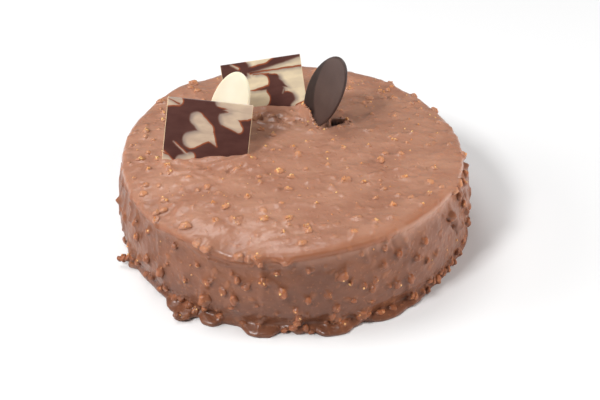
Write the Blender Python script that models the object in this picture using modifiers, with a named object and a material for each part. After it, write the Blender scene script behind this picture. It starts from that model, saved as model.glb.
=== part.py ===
"""A round, uncut hazelnut cake under milk chocolate glaze, with four chocolate decorations.

The origin is the middle of the cake's flat underside, +Z is up and -Y is the front. The glaze
is a turned shape whose lip and foot are moved by functions of the angle round the cake. The
chopped nuts under it are fused to it, and each decoration stands in a slot of its own.
"""

import math
import random

import bmesh
import bpy
from mathutils import Euler, Matrix, Vector

MM = 0.001

# The cake under its glaze
CAKE_HEIGHT = 57.0 * MM
LIP_RADIUS = 101.8 * MM
LIP_HEIGHT = 53.2 * MM
SIDE_RADIUS = 104.8 * MM
FOOT_RADIUS = 104.2 * MM
ROUND_STEPS = 100
CREASE_ANGLE = 50.0

# Where the lip of the glaze is lifted or hangs down: angle, half width (degrees) and lift
LIP_WAVES = (
    (-48, 36, 3.3 * MM),
    (-146, 24, -2.6 * MM),
    (-109.5, 8.5, -5.2 * MM),
    (-94, 9, -1.7 * MM),
    (28, 20, -1.8 * MM),
    (123, 5, -1.2 * MM),
    (136, 8, 2.4 * MM),
)
LIP_SLOPE_START = 74.0 * MM
LIP_SLOPE_END = 100.0 * MM
LIP_FADE_LOW = 22.0 * MM
LIP_FADE_HIGH = 46.0 * MM

# Where the side bulges below its lip: angle, half width (degrees) and reach
SIDE_BULGES = ((-6, 26, 2.4 * MM), (-46, 9, 0.8 * MM), (176, 14, 0.6 * MM))
BULGE_FADE_LOW = 40.0 * MM
BULGE_FADE_HIGH = 50.0 * MM

# Waves of the side round the cake: reach, waves in a turn, phase (radians)
SIDE_SWELLS = ((0.5 * MM, 1, -1.03), (0.35 * MM, 3, 0.6))

# Puddles of glaze that spread from the foot: angle, half width (degrees) and reach
FOOT_TONGUES = (
    (-127.3, 5.8, 7.0 * MM),
    (-125.2, 2.2, 2.2 * MM),
    (-116.5, 3.4, 5.8 * MM),
    (-100.4, 5.2, 6.4 * MM),
    (-88.4, 1.5, 2.8 * MM),
    (-78, 5, 6.4 * MM),
    (-71.5, 3, 2.4 * MM),
    (-58.5, 7.5, 4.6 * MM),
    (-48, 3.5, 2.6 * MM),
    (-8, 9, 2.6 * MM),
    (31, 6, 4.2 * MM),
    (58, 9, 2.4 * MM),
    (97, 6, 4.4 * MM),
    (131, 9, 3.0 * MM),
    (168, 5, 3.8 * MM),
)
FOOT_THICKNESS = 2.0 * MM
FOOT_FADE = 2.9 * MM
FOOT_DRAW_IN = 0.6 * MM

# Fine ripple of the foot: reach, waves in a turn, swells in a turn, phase (degrees)
FOOT_RIPPLE = (0.5 * MM, 23, 5, 40)

# Chopped nuts: the first ones are the largest
NUT_COUNT = 190
NUT_SEED = 11
NUT_SMALLEST = 1.9 * MM
NUT_SIZE_RANGE = 4.5 * MM
NUT_SIZE_FALL = 150.0
NUT_TRIES = 14
NUT_SHARE_TOP = 0.45
NUT_TOP_REACH = 0.97
NUT_SIDE_START = 1.03
NUT_SIDE_END = 0.975
NUT_SIDE_SINK = 0.62
NUT_CLEARANCE = 0.62
NUT_SHAPE = (0.50, 0.40, 0.32)
NUT_TURN = 0.5
FOOT_NUT_SPIN = (0.3, 0.2, 0.9)
DECOR_MARGIN = 2.0 * MM
NORMAL_STEP = 0.01
FLAT_MIDDLE = 0.03

# Nuts that stand out at the foot: angle (degrees), radius, height and size
FOOT_NUTS = (
    (-154.5, 104.0 * MM, 7.0 * MM, 6.0 * MM),
    (-156.0, 106.4 * MM, 6.4 * MM, 5.8 * MM),
    (-157.2, 109.0 * MM, 5.6 * MM, 5.4 * MM),
    (-157.8, 111.0 * MM, 4.8 * MM, 4.0 * MM),
    (-155.2, 105.6 * MM, 4.2 * MM, 5.0 * MM),
    (-125.4, 113.4 * MM, 2.6 * MM, 5.8 * MM),
)

# Decorations: centre, turn about Z, lean to the back and roll in their own plane (degrees)
PLAQUE_SIZE = 50.0 * MM
PLAQUE_THICKNESS = 2.2 * MM
PLAQUE_EDGE = 0.25 * MM
OVAL_LENGTH = 55.0 * MM
OVAL_WIDTH = 31.0 * MM
OVAL_THICKNESS = 2.0 * MM
OVAL_CUP = 0.9 * MM
OVAL_CUP_MIDDLE = 0.5
OVAL_STEPS = 48
OVAL_FLAT_SHARE = 0.6
OVAL_RIM_ROUNDING = (0.3, 0.7)
OVAL_CREASE_ANGLE = 40.0
SLOT_GAP = 0.3 * MM
PLACES = {
    "plaque_front": ((-50.7 * MM, -9.3 * MM, 65.3 * MM), 4.1, 22.1, 8.4),
    "plaque_back": ((-16.6 * MM, 46.8 * MM, 60.8 * MM), 4.0, 29.5, -6.2),
    "oval_white": ((-38.6 * MM, 19.8 * MM, 68.5 * MM), -47.3, 15.4, 12.5),
    "oval_dark": ((19.5 * MM, 26.7 * MM, 78.0 * MM), -59.4, 14.2, 23.3),
}

# The torn hole beside the dark oval
PIT_CENTRE = (27.0 * MM, 27.2 * MM, 57.2 * MM)
PIT_RADII = (4.6 * MM, 3.6 * MM, 4.4 * MM)

MERGE = 0.01 * MM

# Colour and roughness of each part
FINISHES = {
    "cake": ((0.30, 0.145, 0.090), 0.35),
    "plaque_front": ((0.085, 0.035, 0.028), 0.30),
    "plaque_back": ((0.60, 0.47, 0.27), 0.30),
    "oval_white": ((0.90, 0.83, 0.62), 0.35),
    "oval_dark": ((0.105, 0.075, 0.065), 0.40),
}


def smooth(value):
    """Ease from 0 to 1."""
    value = min(max(value, 0.0), 1.0)
    return value * value * (3.0 - 2.0 * value)


def wave(angle, centre, half_width, power=2):
    """A bump of height 1 round the angle centre, in degrees: a higher power makes it squarer."""
    away = (angle - centre + 180.0) % 360.0 - 180.0
    return math.exp(-(abs(away / half_width) ** power))


def lip_lift(angle):
    """How far the lip is lifted at this angle."""
    return sum(lift * wave(angle, centre, width) for centre, width, lift in LIP_WAVES)


def foot_reach(angle):
    """How far the foot spreads at this angle."""
    tongues = sum(reach * wave(angle, centre, width, 4) for centre, width, reach in FOOT_TONGUES)
    reach, waves, swells, phase = FOOT_RIPPLE
    ripple = math.sin(math.radians(angle * waves)) * math.sin(math.radians(angle * swells + phase))
    return tongues - FOOT_DRAW_IN + reach * ripple


def side_swell(angle):
    """How far the side stands out from a true circle."""
    turn = math.radians(angle)
    return sum(reach * math.sin(waves * turn + phase) for reach, waves, phase in SIDE_SWELLS)


def side_bulge(angle, height):
    """How far the side bulges below its lip at this angle and height."""
    share = 1.0 - smooth((height - BULGE_FADE_LOW) / (BULGE_FADE_HIGH - BULGE_FADE_LOW))
    return share * sum(reach * wave(angle, centre, width) for centre, width, reach in SIDE_BULGES)


def profile():
    """Outline of the glaze as (radius, height), from the middle of the top to the foot."""
    return [
        (0.0, CAKE_HEIGHT),
        (0.42 * LIP_RADIUS, CAKE_HEIGHT - 0.1 * MM),
        (0.74 * LIP_RADIUS, CAKE_HEIGHT - 0.6 * MM),
        (0.88 * LIP_RADIUS, CAKE_HEIGHT - 1.4 * MM),
        (0.955 * LIP_RADIUS, LIP_HEIGHT + 1.6 * MM),
        (0.985 * LIP_RADIUS, LIP_HEIGHT + 0.6 * MM),
        (0.999 * LIP_RADIUS, LIP_HEIGHT - 1.0 * MM),
        (LIP_RADIUS, LIP_HEIGHT - 3.0 * MM),
        (0.992 * LIP_RADIUS, LIP_HEIGHT - 5.4 * MM),
        (0.996 * LIP_RADIUS, LIP_HEIGHT - 9.0 * MM),
        (SIDE_RADIUS - 1.4 * MM, 0.60 * CAKE_HEIGHT),
        (SIDE_RADIUS, 0.36 * CAKE_HEIGHT),
        (SIDE_RADIUS - 0.2 * MM, 0.22 * CAKE_HEIGHT),
        (FOOT_RADIUS - 1.3 * MM, 7.4 * MM),
        (FOOT_RADIUS - 1.5 * MM, 4.8 * MM),
        (FOOT_RADIUS - 0.4 * MM, 3.2 * MM),
        (FOOT_RADIUS, 1.6 * MM),
        (FOOT_RADIUS - 0.6 * MM, 0.0),
    ]


def shaped(radius, height, angle):
    """Where a point of the turned outline lies once the lip, side and foot are uneven."""
    on_slope = smooth((radius - LIP_SLOPE_START) / (LIP_SLOPE_END - LIP_SLOPE_START))
    near_lip = on_slope * smooth((height - LIP_FADE_LOW) / (LIP_FADE_HIGH - LIP_FADE_LOW))
    on_foot = on_slope * (1.0 - smooth((height - FOOT_THICKNESS) / FOOT_FADE))
    swell = side_swell(angle) + side_bulge(angle, height)
    height += near_lip * lip_lift(angle)
    radius += on_slope * swell + on_foot * foot_reach(angle)
    turn = math.radians(angle)
    return Vector((radius * math.cos(turn), radius * math.sin(turn), height))


def outline_at(share):
    """Radius and height at this share (0 to 1) of the outline's length."""
    points = profile()
    lengths = [math.dist(a, b) for a, b in zip(points, points[1:])]
    left = share * sum(lengths)
    for (start, end), length in zip(zip(points, points[1:]), lengths):
        if left <= length:
            along = left / length
            return tuple(a + (b - a) * along for a, b in zip(start, end))
        left -= length
    return points[-1]


def glaze_point(share, angle):
    """A point of the glaze and the direction out of it."""
    here = shaped(*outline_at(share), angle)
    up = shaped(*outline_at(max(share - NORMAL_STEP, 0.0)), angle)
    down = shaped(*outline_at(min(share + NORMAL_STEP, 1.0)), angle)
    beside = shaped(*outline_at(share), angle + 1.0)
    normal = (beside - here).cross(up - down).normalized()
    if share < FLAT_MIDDLE:
        normal = Vector((0.0, 0.0, 1.0))
    return here, normal


def decor_matrix(name):
    """World matrix of a decoration: width along X, front to -Y, height along Z."""
    centre, turn, lean, roll = PLACES[name]
    turned = Matrix.Rotation(math.radians(turn), 4, "Z")
    leaned = Matrix.Rotation(math.radians(-lean), 4, "X")
    rolled = Matrix.Rotation(math.radians(roll), 4, "Y")
    return Matrix.Translation(centre) @ turned @ leaned @ rolled


def decor_half_size(name):
    """Half the width, thickness and height of a decoration."""
    if name.startswith("plaque"):
        return Vector((PLAQUE_SIZE, PLAQUE_THICKNESS, PLAQUE_SIZE)) / 2
    return Vector((OVAL_WIDTH, OVAL_THICKNESS + OVAL_CUP, OVAL_LENGTH)) / 2


def clear_of_decor(point, reach):
    """Whether a nut of this reach keeps away from every decoration and from the torn hole."""
    for name in PLACES:
        local = decor_matrix(name).inverted() @ point
        half = decor_half_size(name)
        if all(abs(local[i]) < half[i] + reach + DECOR_MARGIN for i in range(3)):
            return False
    return (point - Vector(PIT_CENTRE)).length > max(PIT_RADII) + reach


def nut_size(number):
    """Length of the nut with this number: the later ones are smaller."""
    return NUT_SMALLEST + NUT_SIZE_RANGE * math.exp(-number / NUT_SIZE_FALL)


def draw_share(rng):
    """A place along the outline: over the top by area, or down the side, more near the foot."""
    total = sum(math.dist(a, b) for a, b in zip(profile(), profile()[1:]))
    top = LIP_RADIUS / total
    if rng.random() < NUT_SHARE_TOP:
        return top * NUT_TOP_REACH * math.sqrt(rng.random())
    side = top * NUT_SIDE_START
    return side + (NUT_SIDE_END - side) * rng.random() ** NUT_SIDE_SINK


def nut_places():
    """Matrices of the nuts, spread evenly: each takes the freest of a few random places."""
    rng = random.Random(NUT_SEED)
    taken = []
    places = []
    for number in range(NUT_COUNT):
        size = nut_size(number)
        best = None
        for _ in range(NUT_TRIES):
            point, normal = glaze_point(draw_share(rng), rng.uniform(-180.0, 180.0))
            if point.z < size * NUT_CLEARANCE or not clear_of_decor(point, size / 2):
                continue
            free = min(((point - other).length for other in taken), default=1.0)
            if best is None or free > best[0]:
                best = (free, point, normal)
        lean = [rng.uniform(-NUT_TURN, NUT_TURN) for _ in range(2)]
        turn = (*lean, rng.uniform(0.0, math.tau))
        if best is None:
            continue
        taken.append(best[1])
        places.append(nut_matrix(best[1], best[2], turn, size))
    return places


def nut_matrix(point, normal, turn, size):
    """A nut lying on the glaze with its thin side along the normal."""
    lying = normal.to_track_quat("Z", "Y").to_matrix().to_4x4()
    stretch = Matrix.Diagonal((*(size * share for share in NUT_SHAPE), 1.0))
    return Matrix.Translation(point) @ lying @ Euler(turn).to_matrix().to_4x4() @ stretch


def foot_nut_places():
    """Matrices of the nuts that stand out at the foot."""
    places = []
    for number, (angle, radius, height, size) in enumerate(FOOT_NUTS):
        turn = math.radians(angle)
        point = Vector((radius * math.cos(turn), radius * math.sin(turn), height))
        spin = [number * step for step in FOOT_NUT_SPIN]
        places.append(nut_matrix(point, Vector((0.0, 0.0, 1.0)), spin, size))
    return places


def clear_scene():
    """Remove every object."""
    for item in list(bpy.data.objects):
        bpy.data.objects.remove(item, do_unlink=True)


def new_collection(name):
    """A collection linked to the scene."""
    collection = bpy.data.collections.new(name)
    bpy.context.scene.collection.children.link(collection)
    return collection


def add_object(name, mesh, collection):
    """An object with this mesh in this collection."""
    item = bpy.data.objects.new(name, mesh)
    collection.objects.link(item)
    return item


def add_material(item):
    """Give an object its own plain material."""
    colour, roughness = FINISHES[item.name]
    material = bpy.data.materials.new(item.name)
    material.use_nodes = True
    shader = material.node_tree.nodes["Principled BSDF"]
    shader.inputs["Base Color"].default_value = (*colour, 1.0)
    shader.inputs["Roughness"].default_value = roughness
    shader.inputs["Metallic"].default_value = 0.0
    item.data.materials.clear()
    item.data.materials.append(material)


def apply_modifiers(item):
    """Replace an object's mesh by its evaluated mesh."""
    depsgraph = bpy.context.evaluated_depsgraph_get()
    mesh = bpy.data.meshes.new_from_object(item.evaluated_get(depsgraph))
    old = item.data
    item.modifiers.clear()
    item.data = mesh
    bpy.data.meshes.remove(old)


def turned_object(name, points, steps, collection):
    """Turn an outline of (radius, height) points, at +X from top to bottom, about Z."""
    mesh = bpy.data.meshes.new(name)
    vertices = [(radius, 0.0, height) for radius, height in points]
    mesh.from_pydata(vertices, [(i, i + 1) for i in range(len(points) - 1)], [])
    item = add_object(name, mesh, collection)
    screw = item.modifiers.new("turn", "SCREW")
    screw.steps = steps
    screw.render_steps = steps
    screw.use_merge_vertices = True
    screw.merge_threshold = MERGE
    apply_modifiers(item)
    return item


def glaze_body(collection):
    """The glazed cake without its nuts, closed by its flat underside."""
    item = turned_object("cake", profile() + [(0.0, 0.0)], ROUND_STEPS, collection)
    for vertex in item.data.vertices:
        x, y, z = vertex.co
        radius = math.hypot(x, y)
        if radius > MERGE:
            vertex.co = shaped(radius, z, math.degrees(math.atan2(y, x)))
    return item


def nut_object(number, matrix, collection):
    """One chopped nut as a faceted ball."""
    mesh = bpy.data.meshes.new(f"nut_{number}")
    shape = bmesh.new()
    bmesh.ops.create_icosphere(shape, subdivisions=1, radius=1.0, matrix=matrix)
    shape.to_mesh(mesh)
    shape.free()
    return add_object(f"nut_{number}", mesh, collection)


def boolean(item, operation, collection):
    """Join a collection's objects to an object, or cut them out of it."""
    modifier = item.modifiers.new(operation.lower(), "BOOLEAN")
    modifier.operation = operation
    modifier.operand_type = "COLLECTION"
    modifier.collection = collection
    modifier.solver = "EXACT"
    apply_modifiers(item)


def fuse_nuts(cake):
    """Join every nut to the glaze, then remove the loose ones."""
    nuts = new_collection("nuts")
    for number, matrix in enumerate(nut_places() + foot_nut_places()):
        nut_object(number, matrix, nuts)
    boolean(cake, "UNION", nuts)
    for nut in list(nuts.objects):
        bpy.data.objects.remove(nut, do_unlink=True)
    bpy.data.collections.remove(nuts)


def plaque(name, collection, clearance=0.0):
    """A square chocolate plaque with slightly softened edges."""
    mesh = bpy.data.meshes.new(name)
    shape = bmesh.new()
    bmesh.ops.create_cube(shape, size=1.0)
    size = (decor_half_size(name) + Vector((clearance,) * 3)) * 2
    bmesh.ops.scale(shape, vec=size, verts=shape.verts)
    shape.to_mesh(mesh)
    shape.free()
    item = add_object(name, mesh, collection)
    item.matrix_world = decor_matrix(name)
    if clearance == 0.0:
        bevel = item.modifiers.new("edge", "BEVEL")
        bevel.width = PLAQUE_EDGE
        bevel.segments = 1
    return item


def oval_outline(clearance):
    """Half section of the oval as (share of its radius, height), from top to bottom."""
    half = OVAL_THICKNESS / 2 + clearance
    rim = OVAL_THICKNESS / OVAL_WIDTH
    inward, upward = OVAL_RIM_ROUNDING
    upper = [
        (0.0, half),
        (OVAL_FLAT_SHARE, half),
        (1.0 - rim, half),
        (1.0 - inward * rim, half * upward),
    ]
    lower = [(radius, -height) for radius, height in reversed(upper)]
    return [*upper, (1.0, 0.0), *lower]


def oval(name, collection, clearance=0.0):
    """A thin oval disc, slightly cupped across its width towards the front."""
    item = turned_object(name, oval_outline(clearance), OVAL_STEPS, collection)
    for vertex in item.data.vertices:
        across, along, thick = vertex.co
        cup = OVAL_CUP * (across * across - OVAL_CUP_MIDDLE)
        x = across * (OVAL_WIDTH / 2 + clearance)
        z = along * (OVAL_LENGTH / 2 + clearance)
        vertex.co = (x, -thick - cup, z)
    item.matrix_world = decor_matrix(name)
    item.data.shade_smooth()
    item.data.set_sharp_from_angle(angle=math.radians(OVAL_CREASE_ANGLE))
    return item


def cut_slots(cake):
    """Cut the slots of the decorations and the torn hole out of the glaze."""
    cutters = new_collection("cutters")
    for name in PLACES:
        build = plaque if name.startswith("plaque") else oval
        build(name, cutters, SLOT_GAP).name = f"slot_{name}"
    pit_mesh = bpy.data.meshes.new("pit")
    shape = bmesh.new()
    matrix = Matrix.Translation(PIT_CENTRE) @ Matrix.Diagonal((*PIT_RADII, 1.0))
    bmesh.ops.create_icosphere(shape, subdivisions=2, radius=1.0, matrix=matrix)
    shape.to_mesh(pit_mesh)
    shape.free()
    add_object("pit", pit_mesh, cutters)
    for cutter in cutters.objects:
        cutter.hide_render = True
        cutter.display_type = "WIRE"
    bpy.context.view_layer.update()
    boolean(cake, "DIFFERENCE", cutters)


def main():
    """Build the cake and its decorations."""
    clear_scene()
    parts = new_collection("chocolate_hazelnut_cake")
    cake = glaze_body(parts)
    fuse_nuts(cake)
    cut_slots(cake)
    cake.data.shade_smooth()
    cake.data.set_sharp_from_angle(angle=math.radians(CREASE_ANGLE))
    for name in PLACES:
        build = plaque if name.startswith("plaque") else oval
        build(name, parts)
    for item in parts.objects:
        add_material(item)


main()
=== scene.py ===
import math
import random

import bmesh
import bpy
import numpy as np
from mathutils import Euler, Matrix, Vector, kdtree, noise


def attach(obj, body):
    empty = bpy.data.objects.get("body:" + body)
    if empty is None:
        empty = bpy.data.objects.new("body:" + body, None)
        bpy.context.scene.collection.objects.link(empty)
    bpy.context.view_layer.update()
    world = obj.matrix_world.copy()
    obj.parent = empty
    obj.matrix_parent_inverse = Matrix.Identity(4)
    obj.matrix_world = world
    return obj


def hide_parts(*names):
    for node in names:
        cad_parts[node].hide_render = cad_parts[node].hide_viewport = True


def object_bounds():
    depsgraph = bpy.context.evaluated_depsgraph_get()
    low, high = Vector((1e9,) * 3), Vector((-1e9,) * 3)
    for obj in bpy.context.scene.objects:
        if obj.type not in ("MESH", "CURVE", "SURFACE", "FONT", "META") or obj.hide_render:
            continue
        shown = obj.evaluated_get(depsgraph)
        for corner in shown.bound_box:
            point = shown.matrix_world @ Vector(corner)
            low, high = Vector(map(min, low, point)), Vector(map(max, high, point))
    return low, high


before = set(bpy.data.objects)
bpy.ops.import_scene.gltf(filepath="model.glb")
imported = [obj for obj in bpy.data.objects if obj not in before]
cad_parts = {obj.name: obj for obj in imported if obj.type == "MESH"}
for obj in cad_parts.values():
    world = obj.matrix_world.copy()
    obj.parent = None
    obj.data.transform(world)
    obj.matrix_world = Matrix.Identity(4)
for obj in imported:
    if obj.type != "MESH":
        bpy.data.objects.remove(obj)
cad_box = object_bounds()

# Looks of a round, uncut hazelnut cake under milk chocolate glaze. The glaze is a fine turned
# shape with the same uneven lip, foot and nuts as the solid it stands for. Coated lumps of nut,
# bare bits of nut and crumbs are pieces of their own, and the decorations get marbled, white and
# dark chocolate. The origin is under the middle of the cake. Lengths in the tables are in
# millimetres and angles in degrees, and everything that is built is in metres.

MM = 0.001

# The glaze of the cake, as in the solid. Lip waves, bulges and tongues: angle, half width, reach
CAKE_HEIGHT = 57.0
LIP_RADIUS = 101.8
LIP_HEIGHT = 53.2
SIDE_RADIUS = 104.8
FOOT_RADIUS = 104.2
LIP_WAVES = (
    (-48, 36, 3.3), (-146, 24, -2.6), (-109.5, 8.5, -5.2), (-94, 9, -1.7), (28, 20, -1.8),
    (123, 5, -1.2), (136, 8, 2.4),
)
SIDE_BULGES = ((-6, 26, 2.4), (-46, 9, 0.8), (176, 14, 0.6))
FOOT_TONGUES = (
    (-127.3, 5.8, 7), (-125.2, 2.2, 2.2), (-116.5, 3.4, 5.8), (-100.4, 5.2, 6.4),
    (-88.4, 1.5, 2.8), (-78, 5, 6.4), (-71.5, 3, 2.4), (-58.5, 7.5, 4.6), (-48, 3.5, 2.6),
    (-8, 9, 2.6), (31, 6, 4.2), (58, 9, 2.4), (97, 6, 4.4), (131, 9, 3), (168, 5, 3.8),
)
FOOT_DRAW_IN = 0.6

# Waves of the side round the cake: reach, waves in a turn, phase (radians)
SIDE_SWELLS = ((0.5, 1, -1.03), (0.35, 3, 0.6))

# Fine ripple of the foot: reach, waves in a turn, swells in a turn, phase (degrees)
FOOT_RIPPLE = (0.5, 23, 5, 40)

# Where a change along the radius or the height eases in: its start and its length
LIP_SLOPE = (74.0, 26.0)
LIP_FADE = (22.0, 24.0)
BULGE_FADE = (40.0, 10.0)
FOOT_FADE = (2.0, 2.9)
BASE_FADE = (0.2, 1.2)
RIM_BAND_IN = (83.0, 13.0)
RIM_BAND_OUT = (98.0, 4.0)

# The same for how far up a normal points, from 0 on the side to 1 on the top, and where a nut
# counts as one on the side or on the top
TOP_TURN = (0.5, 0.3)
SIDE_TURN = (0.6, 0.3)
STEEP = 0.5
LEVEL = 0.8

# Chopped nuts, spread by rule: the first are the solid's own, and the later ones are smaller.
# Sizes, how they share out over the outline, how they lie, and how fine the outline is sampled
NUT_COUNT = 560
NUT_SEED = 11
NUT_SMALLEST = 1.9
NUT_SIZE_RANGE = 4.5
NUT_SIZE_FALL = 150.0
NUT_TRIES = 14
NUT_SHARE_TOP = 0.45
NUT_TOP_REACH = 0.97
NUT_SIDE_START = 1.03
NUT_SIDE_END = 0.975
NUT_SIDE_SINK = 0.62
NUT_CLEARANCE = 0.62
NUT_SHAPE = (0.50, 0.40, 0.32)
NUT_TURN = 0.5
FOOT_NUT_SPIN = (0.3, 0.2, 0.9)
DECOR_MARGIN = 2.0
NORMAL_STEP = 0.01
FLAT_MIDDLE = 0.03

# Nuts that stand out at the foot, as in the solid: angle, radius, height, length
FOOT_NUTS = (
    (-154.5, 104, 7, 6), (-156, 106.4, 6.4, 5.8), (-157.2, 109, 5.6, 5.4), (-157.8, 111, 4.8, 4),
    (-155.2, 105.6, 4.2, 5), (-125.4, 113.4, 2.6, 5.8),
)

# Nuts longer than this stand out as lumps. Only a share of the later ones lie at the front,
# where the nuts that stand out are placed one by one, and none lies too near to one of those
LUMP_SIZE = 2.5
PLAIN_NUTS = 190
FRONT_START = -40.0
FRONT_NUT_SHARE = 0.3
NUT_SPACING = 0.55
SPREAD_BARE = 0.6
FOOT_BARE = 0.3
ROUND_BARE = 0.35

# Shape of the nuts that stand out, in shares of their length, and how far in their search starts
SHOWN_LEAN = 0.25
SHOWN_LENGTH = 0.52
SHOWN_WIDTH = (0.34, 0.44)
SHOWN_THICKNESS = (0.30, 0.38)
SIDE_THICKENING = 0.12
SEARCH_DEPTH = 2.0

# How far the crest of a lump stands out of the glaze, how much less on the top, and its scale
CREST_SHIFT = 0.09
CREST_SINK = 0.05
CREST_SCALE = 1.06

# Bits of bare nut: how many for each millimetre of a nut and how many more on the top, how they
# spread over its crest, their sizes, and the limit of these: a base, and the length of nut that
# adds a whole. Stray ones lie between the nuts
BITS_ON_NUT = 0.3
BITS_ON_TOP = 0.6
BIT_SPREAD = 0.5
BIT_OUT = (0.78, 0.92)
BIT_SIZE = (0.5, 1.0)
BIT_LENGTH = (1.0, 1.6)
BIT_THICKNESS = (0.6, 1.0)
BIT_LIMIT = (0.2, 5.0)
STRAY_BITS = 280
STRAY_SIZE = (0.3, 0.75)
SIDE_BIT_SHARE = 0.2

# Chopped shapes that each scattered piece is set with: seed, flat cuts and fineness
CHOPPED = {
    "large_nuts": (40, 4, 3),
    "round_nuts": (50, 1, 3),
    "small_nuts": (60, 3, 2),
    "bare_nuts": (70, 5, 1),
    "crumbs": (90, 4, 2),
}
SHAPES_EACH = 7
UNEVENNESS = 0.3
CUT_DEPTH = (0.62, 0.86)
CUT_SHARE = 0.8
CRUMB_DROP = 0.1

# Nuts that stand out on the top: x, y, length, turn of the length, share that is bare
TOP_NUTS = (
    (-88.6, 18.6, 5, 90, 1), (-84, 8.6, 2.6, 0, 0.6), (-89.7, -11, 5.4, 10, 0.9),
    (-79.8, -12.8, 4.4, 90, 0.9), (-73.2, -21.8, 6.4, 120, 1), (-71.4, -27, 4.6, 60, 0.9),
    (-83.9, -22.1, 3.6, 70, 0.5), (-92.9, -29.3, 3.2, 90, 0.7), (-85.7, -37.1, 4.6, 30, 0.5),
    (-86.4, -44.3, 4.8, 5, 0), (-73.3, -51.9, 5.6, 130, 0.6), (-78.5, -62.6, 4.6, 20, 0.2),
    (-73.4, -60.4, 5, 15, 0.1), (-60, -76.4, 6.6, 10, 0.6), (-44.3, -59, 3.6, 20, 0.9),
    (-37.6, -62.1, 5.4, 60, 0.9), (-48.6, -42.9, 5.2, 80, 0.1), (-33.6, -73, 4.6, 130, 0.4),
    (-31, -75.8, 4.2, 150, 0.3), (-25.7, -52.9, 4.6, 75, 0.8), (-16.1, -73.3, 5.8, 15, 0.9),
    (-2.4, -73.4, 6, 60, 0.6), (-6.4, -59.3, 3.6, 30, 0.1), (13.3, -59, 3.2, 10, 0.5),
    (7.9, -80.7, 5, 120, 0.8), (8.9, -84.3, 4.2, 20, 0.3), (-5.4, -84.7, 3.8, 30, 0.6),
    (5, -94.5, 5.4, 20, 0.3), (33.9, -87, 5.2, 100, 1), (45.7, -78.4, 5.4, 140, 0.9),
    (56.7, -61, 4.6, 170, 0.9), (67.1, -55, 4.8, 40, 0.3), (47.1, -54.3, 4.2, 40, 0.3),
    (77.1, -51.4, 4.6, 60, 0.6), (52.1, -45, 3.8, 30, 0.2), (40.7, -37.9, 3.6, 20, 0.5),
    (30, -37.1, 7, 35, 0.4), (64.3, -33.6, 4.6, 20, 0.3), (61.5, -26.2, 5.2, 170, 0),
    (-0.7, -33.6, 5, 10, 0.5), (-2.1, -45.7, 4.6, 10, 0.8), (-7.6, -27.6, 5.6, 135, 0.9),
    (-19.3, -32.9, 3.2, 60, 0.3), (-12.1, -5, 2.8, 30, 0.8), (0.4, -2.1, 4.6, 95, 0.6),
    (20.4, -7.9, 2.4, 0, 1), (30, -3.6, 4.6, 90, 0.7), (51.7, -16.1, 5.8, 95, 0.8),
    (54.7, -8.6, 4.2, 160, 0.1), (61.4, 6.4, 3.8, 175, 0.7), (82.4, -23.6, 4.6, 60, 0.5),
    (79.3, -39.3, 5.2, 100, 0.1), (72.1, -22.9, 2.2, 0, 1), (-19.3, 17.9, 4.8, 0, 0.4),
    (-21.4, 30.7, 6.4, 10, 0.2), (-63.6, 74, 6.2, 0, 0.1), (-59.6, 63.6, 4.2, 40, 0.3),
    (-82.5, 52.9, 6.2, 20, 0.4), (-80.7, 38.6, 4.4, 10, 0.5), (-23.8, -14.2, 5.2, 170, 0.7),
    (35.7, 66, 5.4, 20, 0.6), (38.2, 75, 4, 120, 0.4), (55.7, 62.9, 5, 20, 0.7),
    (60.6, 67.6, 3.8, 100, 0.5), (64.3, 56.4, 5.2, 150, 0.4), (47.9, 54.3, 5.2, 20, 0.1),
    (43.6, 48.6, 4.6, 20, 0.1), (74.7, 50.4, 4.2, 30, 0.2),
)

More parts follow.
